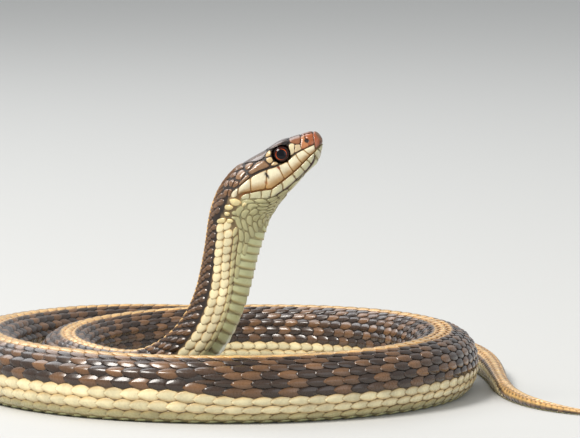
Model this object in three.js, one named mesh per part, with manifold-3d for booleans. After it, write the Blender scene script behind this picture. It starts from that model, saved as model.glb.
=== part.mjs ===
// Garter snake at life size: a still model with the head raised on a bent neck
// and the body lying in a loose coil. Millimetres, +Z up, the belly on Z = 0.
import * as THREE from 'three';
import Module from 'manifold-3d';
import { mergeVertices } from 'three/addons/utils/BufferGeometryUtils.js';

const wasm = await Module();
wasm.setup();

// Lengths along the body, from the tip of the snout
const HEAD_END = 21;
const NECK_END = 48;
const FLOOR_START = 78;
const VENT = 465;
const TOTAL_LENGTH = 600;
const TRUNK_LENGTHS = 8;
const TAIL_LENGTHS = 2;
const NODE_GAP = 0.3;

// Way of the centreline: [length from the snout, degrees]
const PITCH = [[13, 34.2], [26, 78], [33, 80], [FLOOR_START, 0]];
const HEADING = [[14, -6], [28, 0], [36, 0], [FLOOR_START, -48]];
// Turn of the coil: [length from the snout, degrees per mm]
const COIL_TURN = [
  [80, -1.75], [130, -1.6], [190, -1.35], [260, -1.3], [330, -1.12], [400, -1.0],
  [470, -1.1], [515, -1.2], [540, -0.6], [565, 0.6], [600, 2.4],
];
const PATH_STEP = 0.5;

// Outline of the body: [length from the snout, mm from the centreline]
const TOP = [
  [0, 2.3], [2, 2.85], [5.2, 3.85], [8.5, 4.5], [11, 4.58], [14.4, 4.85], [17.3, 5.2], [24, 5.3],
  [32, 4.95], [60, 5.5], [120, 6.2], [220, 6.9], [330, 6.8], [420, 6.0], [465, 4.7], [480, 4.2],
  [540, 2.4], [590, 1.0], [600, 0.6],
];
const BOTTOM = [
  [0, 3.2], [5.7, 3.7], [10.6, 4.95], [15, 5.9], [18.4, 6.45], [24, 6.4],
  [32, 5.7], [60, 4.7], [120, 5.2], [220, 5.8], [330, 5.7], [420, 5.0], [465, 3.9], [480, 3.5],
  [540, 2.0], [590, 0.85], [600, 0.5],
];
const HALF_WIDTH = [
  [20, 6.0], [24, 5.3], [30, 4.9], [60, 5.4], [120, 6.3], [220, 7.1], [330, 7.0], [420, 6.1],
  [465, 4.7], [480, 4.2], [540, 2.4], [590, 0.95], [600, 0.55],
];

// Four lines along each side of the head: [length, half width, height]
const CROWN_LINE = [
  [0, 1.3, 1.4], [2, 1.7, 2.15], [4, 2.15, 2.6], [5.3, 2.6, 3.1], [6.2, 3.05, 3.7], [7.2, 3.55, 4.0],
  [8.5, 3.8, 4.12], [9.6, 3.9, 4.02], [10.6, 4.05, 3.75], [12, 4.2, 3.65], [15, 4.3, 4.0], [18, 4.4, 4.1],
  [26, 4.0, 4.0],
];
const LABIAL_LINE = [
  [0, 1.9, -0.1], [1.6, 2.3, 0.07], [3.5, 2.95, 0.42], [6, 3.65, 0.77], [8, 4.25, 0.75],
  [10, 4.8, 0.79], [12.4, 5.4, 1.4], [15.2, 5.85, 1.95], [18, 6.2, 2.2], [20, 6.1, 2.3], [26, 5.1, 1.0],
];
const LIP_LINE = [
  [0, 2.15, -0.8], [2.3, 2.7, -1.17], [4.4, 3.4, -1.5], [6.4, 4.05, -1.94], [8, 4.5, -2.2],
  [10.4, 5.15, -2.42], [13.2, 5.85, -2.5], [14.7, 6.05, -1.85], [17.2, 6.3, -0.5], [19.5, 6.2, 0.8],
  [22, 5.85, 0.4], [26, 5.2, -0.8],
];
const JAW_LINE = [
  [0, 1.5, -1.7], [3.3, 2.5, -2.3], [4.8, 2.9, -3.0], [6.4, 3.3, -3.55], [8, 3.8, -3.95],
  [11.7, 4.8, -4.45], [15, 5.5, -4.4], [18, 5.7, -4.2], [22, 5.3, -4.2], [26, 4.6, -4.5],
];
const HEAD_LINES = [CROWN_LINE, LABIAL_LINE, LIP_LINE, JAW_LINE];
// Where the same lines run round the body: degrees from the middle of the back
const BODY_ANGLES = [[0, 0], [1, 38], [2, 80], [3, 102], [4, 128], [5, 180]];
const BODY_SQUARENESS = 0.84;
const NECK_SQUARENESS = 0.98;
const LIP = 3;
const BELLY_LINE = 5;
const BLEND_START = 19;
const BLEND_END = 26;

// Rounding of the snout and chin
const SNOUT_ROUND = { length: 2.5, width: 2.2, upper: 3.8 };
const CHIN_ROUND = { length: 4, power: 1.2 };
const MOUTH_FRONT = { setback: 0.8, power: 5, fade: 3, height: -0.8 };
const CHIN_SETBACK = 0.6;
const CHIN_SETBACK_END = 3;
// What is sunk into the head gets shallower over this length towards the tip
const TIP_FADE = 2;
const NORMAL_REACH = 0.05;

// Mouth line, nostrils and eyes
const MOUTH_END = 19.6;
const MOUTH_FADE = 1.5;
const MOUTH_DEPTH = 0.45;
const MOUTH_HALF = 0.09;
const NOSTRIL = { along: 2.64, line: 1.42, radius: 0.44, depth: 0.6, sides: 10 };
const EYE = { along: 8.2, side: 3.5, height: 2.1, radius: 1.72, bulge: 1.2, forward: 14, up: 6 };
const EYE_SPOKES = 20;
const EYE_BANDS = 12;
const SOCKET_GAP = 0.3;

// Scutes of the belly: one of these stands for two or so of the real ones
const SCUTE_PITCH = [[HEAD_END, 2.6], [60, 4.2], [120, 5.2], [420, 5.2], [VENT, 4], [TOTAL_LENGTH, 2.8]];
const SCUTE_STEP = 0.35;
const FULL_STEP_DEPTH = 4;
const SCUTE_EDGE = 0.15;
const SCUTE_RISE = 0.3;
const SHORTEST_LAST_SCUTE = 6;
const PAIR_GROOVE = 0.12;

// Plates of the head: how far they stand out, their grooves, bevel and roots
const PLATE = { rise: 0.17, crown: 0.05, groove: 0.06, bevel: 0.08, root: 0.45 };
const PLATES_FADE = [16, 20];
const LABIAL_TOP = 2.05;
const LABIAL_LIP = 2.88;
const CHIN_LIP = 3.13;
const CHIN_MIDDLE = 4.94;
// Seams of the upper labials: [length at the top, length at the lip]
const UPPER_SEAMS = [[1.7, 1.95], [4.1, 3.55], [5.8, 5.7], [7.95, 8], [9.9, 10.27], [12.05, 14.6], [15.6, 17.25], [18.35, 19.3]];
// Seams of the lower labials: [length at the lip, length at the outer edge, line of that edge]
const LOWER_SEAMS = [
  [2.7, 3.3, 4.08], [4.6, 4.5, 4], [6.35, 6.2, 3.93], [8.4, 8.45, 3.86], [11.15, 11.9, 3.84],
  [13.4, 14.8, 3.72], [15.5, 16.7, 3.52], [18.9, 19.2, 3.34],
];
// The first pair of the lower labials meets under the chin
const FIRST_LOWER_LABIAL = [[[1.25, CHIN_LIP], [1.5, CHIN_MIDDLE]], [[2.6, CHIN_LIP], [2.95, CHIN_MIDDLE]]];
// Other plates of one side, each as rows from front to rear or inside to outside;
// a row is its two ends, and an end is [length from the snout, line]
const SIDE_PLATES = {
  internasal: [[[0.85, 0.03], [1, 0.88]], [[2, 0.03], [2.3, 0.84]], [[3.2, 0.03], [3.1, 0.8]]],
  prefrontal: [[[3.3, 0.03], [3.27, 0.66]], [[4.3, 0.03], [3.95, 1.42]], [[5, 0.03], [4.88, 1.3]], [[5.6, 0.03], [5.45, 1.05]]],
  front_nasal: [[[1.05, 0.98], [1.72, 1.96]], [[2.5, 0.9], [2.8, 1.96]]],
  rear_nasal: [[[2.5, 0.9], [2.8, 1.96]], [[3.4, 0.92], [4.3, 1.96]]],
  loreal: [[[4.03, 1.5], [4.38, 1.96]], [[4.9, 1.38], [5.75, 1.96]]],
  preocular: [[[4.95, 1.33], [5.9, 1.96]], [[6, 1.3], [6.75, 1.96]]],
  supraocular: [[[5.9, 0.56], [5.9, 1.05]], [[7.4, 0.5], [7.4, 1.2]], [[9, 0.42], [9, 1.15]], [[10.2, 0.38], [10.1, 0.92]]],
  parietal: [[[10.5, 0.4], [10.4, 0.86]], [[11.2, 0.03], [11.4, 0.97]], [[13, 0.03], [13, 0.92]],
    [[14.6, 0.03], [14.5, 0.74]], [[15.9, 0.05], [15.7, 0.4]]],
  upper_postocular: [[[9.9, 0.98], [9.9, 1.26]], [[10.9, 0.98], [11.1, 1.26]]],
  middle_postocular: [[[9.95, 1.29], [9.95, 1.62]], [[11.2, 1.24], [11.1, 1.62]]],
  lower_postocular: [[[9.7, 1.65], [9.7, 1.95]], [[11, 1.65], [11.1, 1.95]]],
  front_temporal: [[[11.35, 1.18], [11.3, 1.9]], [[13, 1.05], [13.3, 1.9]], [[15.3, 1.36], [15.2, 1.84]]],
  upper_temporal: [[[13.5, 0.98], [14.2, 1.12]], [[15, 0.85], [15.5, 1.3]], [[17, 0.85], [17.1, 1.25]]],
  rear_temporal: [[[15.6, 1.38], [15.4, 1.9]], [[17, 1.36], [17, 1.9]], [[18.5, 1.4], [18.3, 1.86]]],
  nape_temporal: [[[17.3, 0.85], [17.4, 1.3]], [[19, 0.9], [19, 1.3]]],
  upper_labial_8: [[[18.6, 2.1], [19.5, 2.72]], [[19.9, 1.84], [20.2, 2.4]]],
  parietal_rear: [[[15.3, 0.52], [15.3, 0.78]], [[17.2, 0.36], [17.2, 0.78]]],
  front_chin_shield: [[[3.1, 4.15], [3.1, 4.94]], [[5.1, 4.12], [5.1, 4.94]], [[7, 4.25], [7.2, 4.94]]],
  rear_chin_shield: [[[7.1, 4.18], [7.5, 4.9]], [[9.3, 4.2], [9.3, 4.82]], [[11.8, 4.35], [11.8, 4.7]]],
};
const MIDDLE_PLATES = {
  front_gular: [[[12.8, 4.5], [12.8, 5.5]], [[14.6, 4.35], [14.6, 5.65]]],
  middle_gular: [[[14.8, 4.35], [14.8, 5.65]], [[17.2, 4.3], [17.2, 5.7]]],
  rear_gular: [[[17.4, 4.3], [17.4, 5.7]], [[20.3, 4.25], [20.3, 5.75]]],
  frontal: [[[5.75, -0.5], [5.75, 0.5]], [[7.5, -0.43], [7.5, 0.43]], [[9.7, -0.33], [9.7, 0.33]], [[10.9, -0.06], [10.9, 0.06]]],
};
// Plates round the tip of the snout; their lengths are given as square roots
const TIP_PLATES = {
  rostral: [[[0.1, 2.86], [1.33, 2.86]], [[0.1, 2], [1.43, 1.96]], [[0.1, 1], [0.97, 1]], [[0.1, 0], [0.85, 0]],
    [[0.1, -1], [0.97, -1]], [[0.1, -2], [1.43, -1.96]], [[0.1, -2.86], [1.33, -2.86]]],
  mental: [[[0.5, 6.84], [1.06, 6.84]], [[0.3, 6], [1.15, 6]], [[0.2, 5], [1.2, 5]],
    [[0.3, 4], [1.15, 4]], [[0.5, 3.16], [1.06, 3.16]]],
};
const SHORT_EDGE = 0.01;
const MERGE_DISTANCE = 1e-4;
const PLATE_CELL = 1.5;
const TIP_CELL = 1;

const SIDE_COLUMNS = [0, 0.7, 1.4, 2.1, 2.8, 3.5, 4.1, 4.5, 5];
const RAISED_FROM = 4.1;
const BELLY_FROM = 3;
const HEAD_COLUMNS = [0, 0.5, 1, 1.5, 2, 2.45, LIP - MOUTH_HALF, LIP, LIP + MOUTH_HALF, 3.5, 4, 4.5, 5];
const HEAD_RINGS = [
  0.01, 0.07, 0.2, 0.45, 0.85, 1.5, 2.5, 3.7, 4.9, 6.1, 7.3, 8.5, 9.7, 11, 12.3, 13.6, 14.9, 16.2, 17.5, 18.7, 19.9,
];

// Smooth value between named stations, with level ends
function smooth(t) {
  const x = Math.min(Math.max(t, 0), 1);
  return x * x * (3 - 2 * x);
}

function eased(stations, at) {
  const last = stations[stations.length - 1];
  if (at <= stations[0][0]) return stations[0][1];
  if (at >= last[0]) return last[1];
  const i = stations.findIndex((station) => at < station[0]);
  const [from, to] = [stations[i - 1], stations[i]];
  return from[1] + (to[1] - from[1]) * smooth((at - from[0]) / (to[0] - from[0]));
}

// Smooth curve through the stations that never swings past them
function through(stations, at, column = 1) {
  const last = stations.length - 1;
  if (at <= stations[0][0]) return stations[0][column];
  if (at >= stations[last][0]) return stations[last][column];
  const i = stations.findIndex((station) => at < station[0]) - 1;
  const slope = (k) => (stations[k + 1][column] - stations[k][column]) / (stations[k + 1][0] - stations[k][0]);
  const tangent = (k) => {
    if (k === 0) return slope(0);
    if (k === last) return slope(last - 1);
    const [before, after] = [slope(k - 1), slope(k)];
    return before * after <= 0 ? 0 : (2 * before * after) / (before + after);
  };
  const width = stations[i + 1][0] - stations[i][0];
  const t = (at - stations[i][0]) / width;
  const [a, b] = [stations[i][column], stations[i + 1][column]];
  return a + (b - a) * smooth(t)
    + width * t * (1 - t) * ((1 - t) * tangent(i) - t * tangent(i + 1));
}

// The centreline, followed from the snout to the tip of the tail
function makePath() {
  const centres = [new THREE.Vector3()];
  const headings = [HEADING[0][1]];
  for (let k = 1; k * PATH_STEP <= TOTAL_LENGTH; k += 1) {
    const middle = (k - 0.5) * PATH_STEP;
    const turned = headings[k - 1] + through(COIL_TURN, middle) * PATH_STEP;
    const heading = middle < FLOOR_START ? eased(HEADING, k * PATH_STEP) : turned;
    headings.push(heading);
    const forward = direction(eased(PITCH, middle), (heading + headings[k - 1]) / 2);
    centres.push(centres[k - 1].clone().addScaledVector(forward, -PATH_STEP));
  }
  return { centres, headings };
}

function direction(pitch, heading) {
  const [p, h] = [THREE.MathUtils.degToRad(pitch), THREE.MathUtils.degToRad(heading)];
  return new THREE.Vector3(Math.cos(p) * Math.cos(h), Math.cos(p) * Math.sin(h), Math.sin(p));
}

const path = makePath();
const FLOOR_CENTRE = path.centres[FLOOR_START / PATH_STEP].z;

function frameAt(along) {
  const k = Math.min(Math.floor(along / PATH_STEP), path.centres.length - 2);
  const t = along / PATH_STEP - k;
  const centre = path.centres[k].clone().lerp(path.centres[k + 1], t);
  const heading = THREE.MathUtils.lerp(path.headings[k], path.headings[k + 1], t);
  const forward = direction(eased(PITCH, along), heading);
  const left = direction(0, heading + 90);
  const up = new THREE.Vector3().crossVectors(forward, left);
  // The belly of the lying part is exactly on the floor
  const depth = through(BOTTOM, Math.max(along, FLOOR_START));
  centre.z += depth - FLOOR_CENTRE;
  return { centre, forward, left, up };
}

// Half of a section: [half width, height] at a line between 0 (back) and 5 (belly)
function bodySection(along, line) {
  const [top, bottom] = [through(TOP, along), through(BOTTOM, along)];
  const angle = THREE.MathUtils.degToRad(through(BODY_ANGLES, line));
  const flat = THREE.MathUtils.lerp(NECK_SQUARENESS, BODY_SQUARENESS, smooth((along - BLEND_END) / (FLOOR_START - BLEND_END)));
  const half = (top + bottom) / (1 + flat);
  const bend = (value) => Math.sign(value) * Math.abs(value) ** BODY_SQUARENESS;
  const height = top - half + half * bend(Math.cos(angle));
  return [through(HALF_WIDTH, along) * bend(Math.sin(angle)), Math.max(height, -bottom)];
}

function rounded(at, length, power) {
  const x = Math.min(at / length, 1);
  return (1 - (1 - x) ** power) ** (1 / power);
}

function headSection(along, line) {
  const points = [[0, through(TOP, along)]];
  for (const stations of HEAD_LINES) points.push([through(stations, along, 1), through(stations, along, 2)]);
  points.push([0, -through(BOTTOM, along)]);
  const mirrored = ([width, height]) => [-width, height];
  const all = [mirrored(points[1]), ...points, mirrored(points[4])];
  const k = Math.min(Math.floor(line), BELLY_LINE - 1);
  const t = line - k;
  return [0, 1].map((axis) => {
    const [p0, p1, p2, p3] = all.slice(k, k + 4).map((point) => point[axis]);
    return 0.5 * (2 * p1 + (p2 - p0) * t + (2 * p0 - 5 * p1 + 4 * p2 - p3) * t * t
      + (3 * p1 - p0 - 3 * p2 + p3) * t ** 3);
  });
}

// Point of the skin: lines run from -5 (belly, left side) over 0 (back) to 5 (belly, right side),
// and past 5 they go on round the belly
function skin(along, around) {
  const line = around > BELLY_LINE ? around - 2 * BELLY_LINE : around;
  const at = Math.abs(line);
  let [width, height] = along < BLEND_END ? headSection(along, at) : bodySection(along, at);
  if (along > BLEND_START && along < BLEND_END) {
    const [bodyWidth, bodyHeight] = bodySection(along, at);
    const share = smooth((along - BLEND_START) / (BLEND_END - BLEND_START));
    width = THREE.MathUtils.lerp(width, bodyWidth, share);
    height = THREE.MathUtils.lerp(height, bodyHeight, share);
  }
  const upper = rounded(along, SNOUT_ROUND.length, SNOUT_ROUND.upper);
  const lower = rounded(along, CHIN_ROUND.length, CHIN_ROUND.power);
  const below = smooth(at - LIP);
  width *= rounded(along, SNOUT_ROUND.length, SNOUT_ROUND.width);
  height = THREE.MathUtils.lerp(MOUTH_FRONT.height, height, THREE.MathUtils.lerp(upper, lower, below));
  const rise = (height - MOUTH_FRONT.height) / (through(TOP, along) - MOUTH_FRONT.height);
  const lipBack = MOUTH_FRONT.setback * (1 - THREE.MathUtils.clamp(rise, 0, 1)) ** MOUTH_FRONT.power
    * (1 - smooth(along / MOUTH_FRONT.fade));
  const chinBack = CHIN_SETBACK * (1 - smooth(along / CHIN_SETBACK_END));
  const setback = THREE.MathUtils.lerp(lipBack, chinBack, below);
  const { centre, left, up } = frameAt(along + setback);
  return centre.addScaledVector(left, -Math.sign(line) * width).addScaledVector(up, height);
}

function skinNormal(along, line) {
  const ahead = skin(Math.max(along - NORMAL_REACH, 0), line);
  const lengthwise = skin(along + NORMAL_REACH, line).sub(ahead);
  const around = skin(along, line + NORMAL_REACH).sub(skin(along, line - NORMAL_REACH));
  return new THREE.Vector3().crossVectors(lengthwise, around).normalize();
}

// A closed mesh from rows of points, each row a closed ring, with a point at each end
function closedRings(rings, firstPoint, lastPoint) {
  const points = [firstPoint, ...rings.flat(), lastPoint];
  const count = rings[0].length;
  const last = points.length - 1;
  const index = [];
  for (let i = 0; i < count; i += 1) {
    const j = (i + 1) % count;
    index.push(0, 1 + i, 1 + j);
    for (let r = 0; r < rings.length - 1; r += 1) {
      const [a, b] = [1 + r * count + i, 1 + r * count + j];
      index.push(a, a + count, b, b, a + count, b + count);
    }
    const start = 1 + (rings.length - 1) * count;
    index.push(start + i, last, start + j);
  }
  return meshGeometry(points, index);
}

function meshGeometry(points, index) {
  const geometry = new THREE.BufferGeometry();
  geometry.setAttribute('position', new THREE.Float32BufferAttribute(points.flatMap((p) => p.toArray()), 3));
  geometry.setIndex(index);
  return geometry;
}

// Columns of a ring, from the left belly over the back to the right belly
function wholeRing(columns) {
  const right = columns.slice(1);
  return [...right.slice(0, -1).reverse().map((line) => -line), 0, ...right];
}

function toSolid(geometry) {
  const bare = geometry.clone();
  bare.deleteAttribute('normal');
  bare.deleteAttribute('uv');
  const merged = mergeVertices(bare, MERGE_DISTANCE);
  return new wasm.Manifold(new wasm.Mesh({
    numProp: 3,
    vertProperties: new Float32Array(merged.attributes.position.array),
    triVerts: new Uint32Array(merged.index.array),
  }));
}

// The largest closed surface of a solid, without edges too short to matter, as a geometry
function toGeometry(solid) {
  const pieces = solid.simplify(SHORT_EDGE).decompose();
  const largest = pieces.reduce((best, piece) => (piece.volume() > best.volume() ? piece : best));
  const mesh = largest.getMesh();
  const geometry = new THREE.BufferGeometry();
  geometry.setAttribute('position', new THREE.BufferAttribute(new Float32Array(mesh.vertProperties), 3));
  geometry.setIndex([...mesh.triVerts]);
  return geometry;
}

function finish(color, roughness) {
  return new THREE.MeshStandardMaterial({ color, roughness, metalness: 0 });
}

// The eye: a flattened ball that looks out and a little forward
function eyeMatrix(side, grow) {
  const { centre, forward, left, up } = frameAt(EYE.along);
  const out = left.clone().multiplyScalar(-side);
  const axis = out.addScaledVector(forward, Math.tan(THREE.MathUtils.degToRad(EYE.forward)))
    .addScaledVector(up, Math.tan(THREE.MathUtils.degToRad(EYE.up))).normalize();
  const place = centre.addScaledVector(left, -side * EYE.side).addScaledVector(up, EYE.height);
  const turn = new THREE.Quaternion().setFromUnitVectors(new THREE.Vector3(0, 1, 0), axis);
  const size = new THREE.Vector3(EYE.radius + grow, EYE.bulge + grow, EYE.radius + grow);
  return new THREE.Matrix4().compose(place, turn, size);
}

function eyeGeometry(side, grow = 0) {
  return new THREE.SphereGeometry(1, EYE_SPOKES, EYE_BANDS).applyMatrix4(eyeMatrix(side, grow));
}

function nostril(side) {
  const normal = skinNormal(NOSTRIL.along, side * NOSTRIL.line);
  const place = skin(NOSTRIL.along, side * NOSTRIL.line);
  const pit = new THREE.CylinderGeometry(NOSTRIL.radius, NOSTRIL.radius / 2, 2 * NOSTRIL.depth, NOSTRIL.sides);
  const turn = new THREE.Quaternion().setFromUnitVectors(new THREE.Vector3(0, 1, 0), normal);
  return pit.applyQuaternion(turn).translate(place.x, place.y, place.z);
}

function headRing(along) {
  const open = 1 - smooth((along - MOUTH_END) / MOUTH_FADE + 1);
  const awayFromTip = rounded(along, TIP_FADE, 2);
  return wholeRing(HEAD_COLUMNS).map((line) => {
    const mouth = Math.abs(line) === LIP ? MOUTH_DEPTH * open : 0;
    const sunk = mouth + PLATE.rise - plateRise(along);
    return skin(along, line).addScaledVector(skinNormal(along, line), -sunk * awayFromTip);
  });
}

function mix(a, b, t) {
  return a.map((value, i) => THREE.MathUtils.lerp(value, b[i], t));
}

// One plate: a patch of skin lifted a little, bevelled, with its root sunk in the head
function plate(rows, cell = PLATE_CELL, power = 1) {
  const place = ([along, line]) => skin(along ** power, line);
  const spans = rows.map(([a, b]) => place(a).distanceTo(place(b)));
  const columns = Math.max(Math.round(Math.max(...spans) / cell), 2);
  const middles = rows.map(([a, b]) => place(mix(a, b, 0.5)));
  const steps = middles.slice(1).map((point, i) => Math.max(Math.round(point.distanceTo(middles[i]) / cell), 1));
  if (rows.length === 2) steps[0] = Math.max(steps[0], 2);
  const length = middles.slice(1).reduce((sum, point, i) => sum + point.distanceTo(middles[i]), 0);
  const fine = steps.flatMap((count, i) => Array.from({ length: count },
    (_, k) => [mix(rows[i][0], rows[i + 1][0], k / count), mix(rows[i][1], rows[i + 1][1], k / count)]));
  fine.push(rows[rows.length - 1]);
  // The rows move in from both ends by the groove, and the top by the bevel as well
  const layer = (margin, lift, crown) => fine.map((row, r) => {
    const inward = (1 - 2 * margin / length);
    const t = (0.5 + (r / (fine.length - 1) - 0.5) * inward) * (fine.length - 1);
    const k = Math.min(Math.floor(t), fine.length - 2);
    const [a, b] = [mix(fine[k][0], fine[k + 1][0], t - k), mix(fine[k][1], fine[k + 1][1], t - k)];
    const keep = 1 - 2 * margin / Math.max(place(a).distanceTo(place(b)), 3 * margin);
    return Array.from({ length: columns + 1 }, (_, c) => {
      const [along, line] = mix(a, b, 0.5 + (c / columns - 0.5) * keep);
      const inner = r > 0 && r < fine.length - 1 && c > 0 && c < columns;
      const height = lift + plateRise(along ** power) + (inner ? crown : 0);
      return place([along, line]).addScaledVector(skinNormal(along ** power, line), height);
    });
  });
  const top = layer(PLATE.groove + PLATE.bevel, 0, PLATE.crown);
  const root = layer(PLATE.groove, -PLATE.rise - PLATE.root, 0);
  return slab(top, root);
}

// A closed slab between two grids of points of the same size
function slab(top, root) {
  const [rows, columns] = [top.length, top[0].length];
  const points = [...top.flat(), ...root.flat()];
  const below = rows * columns;
  const at = (r, c) => r * columns + c;
  const index = [];
  for (let r = 0; r < rows - 1; r += 1) {
    for (let c = 0; c < columns - 1; c += 1) {
      const corners = [at(r, c), at(r + 1, c), at(r + 1, c + 1), at(r, c + 1)];
      index.push(corners[0], corners[1], corners[2], corners[0], corners[2], corners[3]);
      const under = corners.map((corner) => corner + below);
      index.push(under[0], under[2], under[1], under[0], under[3], under[2]);
    }
  }
  const rim = [];
  for (let r = 0; r < rows - 1; r += 1) rim.push(at(r, 0));
  for (let c = 0; c < columns - 1; c += 1) rim.push(at(rows - 1, c));
  for (let r = rows - 1; r > 0; r -= 1) rim.push(at(r, columns - 1));
  for (let c = columns - 1; c > 0; c -= 1) rim.push(at(0, c));
  rim.forEach((a, i) => {
    const b = rim[(i + 1) % rim.length];
    index.push(a, a + below, b, b, a + below, b + below);
  });
  return meshGeometry(points, index);
}

// Every plate of the head
function headPlates() {
  const right = Object.values(SIDE_PLATES);
  for (let k = 0; k < UPPER_SEAMS.length - 1; k += 1) {
    right.push([UPPER_SEAMS[k], UPPER_SEAMS[k + 1]].map(([edge, lip]) => [[edge, LABIAL_TOP], [lip, LABIAL_LIP]]));
  }
  right.push(FIRST_LOWER_LABIAL);
  for (let k = 0; k < LOWER_SEAMS.length - 1; k += 1) {
    right.push([LOWER_SEAMS[k], LOWER_SEAMS[k + 1]].map(([lip, edge, line]) => [[lip, CHIN_LIP], [edge, line]]));
  }
  const left = right.map((rows) => rows.map(([a, b]) => [[b[0], -b[1]], [a[0], -a[1]]]));
  const plates = [...right, ...left, ...Object.values(MIDDLE_PLATES)].map((rows) => plate(rows));
  return [...plates, ...Object.values(TIP_PLATES).map((rows) => plate(rows, TIP_CELL, 2))];
}

// The skin between the plates lies lower than they do, up to where the fine scales begin
function plateRise(along) {
  return PLATE.rise * smooth((along - PLATES_FADE[0]) / (PLATES_FADE[1] - PLATES_FADE[0]));
}

function head() {
  const end = HEAD_END - NODE_GAP / 2;
  const rings = [...HEAD_RINGS, end].map(headRing);
  let solid = toSolid(closedRings(rings, skin(0, LIP), frameAt(end).centre));
  for (const geometry of headPlates()) solid = solid.add(toSolid(geometry));
  for (const side of [-1, 1]) {
    solid = solid.subtract(toSolid(eyeGeometry(side, SOCKET_GAP)));
    solid = solid.subtract(toSolid(nostril(side)));
  }
  return toGeometry(solid);
}

// Starts of the belly scutes, from the back of the head to near the tip of the tail
function scuteStarts() {
  const starts = [HEAD_END];
  while (starts[starts.length - 1] < TOTAL_LENGTH - SHORTEST_LAST_SCUTE) {
    const start = starts[starts.length - 1];
    starts.push(start + through(SCUTE_PITCH, start));
  }
  starts[starts.length - 1] = TOTAL_LENGTH;
  return starts;
}

// Triangles between two chains of vertices that run side by side
function zip(index, first, second) {
  let [a, b] = [0, 0];
  while (a < first.length - 1 || b < second.length - 1) {
    const nextFirst = (a + 1) / (first.length - 1 || 1);
    const nextSecond = (b + 1) / (second.length - 1 || 1);
    if (a < first.length - 1 && (b === second.length - 1 || nextFirst <= nextSecond)) {
      index.push(first[a], first[a + 1], second[b]);
      a += 1;
    } else {
      index.push(second[b], first[a], second[b + 1]);
      b += 1;
    }
  }
}

// A length of the body: its belly is stepped by scutes, each with a free rear edge
function bodyLength(starts) {
  const columns = wholeRing(SIDE_COLUMNS);
  const isBelly = columns.map((line) => Math.abs(line) > BELLY_FROM);
  const paired = starts[0] >= vent;
  const points = [];
  const chains = columns.map(() => []);
  const addRow = (along, lift, whole) => columns.forEach((line, c) => {
    if (!whole && !isBelly[c]) return;
    const point = skin(along, line);
    const raised = Math.abs(line) >= RAISED_FROM;
    const groove = paired && line === BELLY_LINE ? Math.max(lift, PAIR_GROOVE) : lift;
    if (raised) point.addScaledVector(frameAt(along).up, groove);
    chains[c].push({ vertex: points.length, whole });
    points.push(point);
  });
  starts.slice(0, -1).forEach((start, k) => {
    const end = starts[k + 1];
    const from = k === 0 ? start + NODE_GAP / 2 : start;
    addRow(from, scuteStep(start), true);
    addRow(THREE.MathUtils.lerp(start, end, SCUTE_RISE), 0, false);
    addRow(end - SCUTE_EDGE, 0, k === starts.length - 2);
  });
  const firstPoint = frameAt(starts[0] + NODE_GAP / 2).centre;
  const lastPoint = frameAt(starts[starts.length - 1] - SCUTE_EDGE).centre;
  const index = [];
  const [first, last] = [points.push(firstPoint) - 1, points.push(lastPoint) - 1];
  columns.forEach((_, c) => {
    const next = (c + 1) % columns.length;
    index.push(first, chains[c][0].vertex, chains[next][0].vertex);
    index.push(chains[c].at(-1).vertex, last, chains[next].at(-1).vertex);
    const cuts = (chain) => chain.reduce((list, { whole }, i) => (whole ? [...list, i] : list), []);
    const [own, other] = [cuts(chains[c]), cuts(chains[next])];
    for (let k = 0; k < own.length - 1; k += 1) {
      zip(index,
        chains[c].slice(own[k], own[k + 1] + 1).map(({ vertex }) => vertex),
        chains[next].slice(other[k], other[k + 1] + 1).map(({ vertex }) => vertex));
    }
  });
  return meshGeometry(points, index);
}

function scuteStep(along) {
  return SCUTE_STEP * Math.min(through(BOTTOM, along) / FULL_STEP_DEPTH, 1);
}

// The scutes of one named length
function scutesBetween(from, to) {
  return allScutes.filter((start) => start >= from && start <= to);
}

const brownScales = finish(0x6b4a32, 0.42);
const brownBack = finish(0x5c4230, 0.45);
const darkEye = finish(0x1b0e0a, 0.08);
const body = new THREE.Group();

function add(name, geometry, material) {
  const mesh = new THREE.Mesh(geometry, material);
  mesh.name = name;
  body.add(mesh);
}

add('head', head(), brownScales);
add('eye_right', eyeGeometry(1), darkEye);
add('eye_left', eyeGeometry(-1), darkEye);
const allScutes = scuteStarts();
const nearest = (along) => allScutes.reduce((best, start) => (Math.abs(start - along) < Math.abs(best - along) ? start : best));
const neckEnd = nearest(NECK_END);
const vent = nearest(VENT);
add('neck', bodyLength(scutesBetween(HEAD_END, neckEnd)), brownBack);

function addLengths(name, from, to, count) {
  for (let k = 0; k < count; k += 1) {
    const [start, end] = [k, k + 1].map((step) => nearest(THREE.MathUtils.lerp(from, to, step / count)));
    add(`${name}_${k + 1}`, bodyLength(scutesBetween(start, end)), brownBack);
  }
}

addLengths('trunk', neckEnd, vent, TRUNK_LENGTHS);
addLengths('tail', vent, TOTAL_LENGTH, TAIL_LENGTHS);

// The origin is the middle of the footprint, on the floor
const box = new THREE.Box3().setFromObject(body);
const middle = box.getCenter(new THREE.Vector3());
for (const mesh of body.children) mesh.position.set(-middle.x, -middle.y, 0);

export default body;
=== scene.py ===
# %% [markdown]
# # A garter snake, dressed for a display case
# The plain solids of the snake are loaded first, and stay where they are. Over them go a
# skin, the plates of the head, the scales of the body and the eyes, each as its own mesh.
# The snake is a still model, so every piece rides on the one body, the root.

# %% The frame
import math

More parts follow.
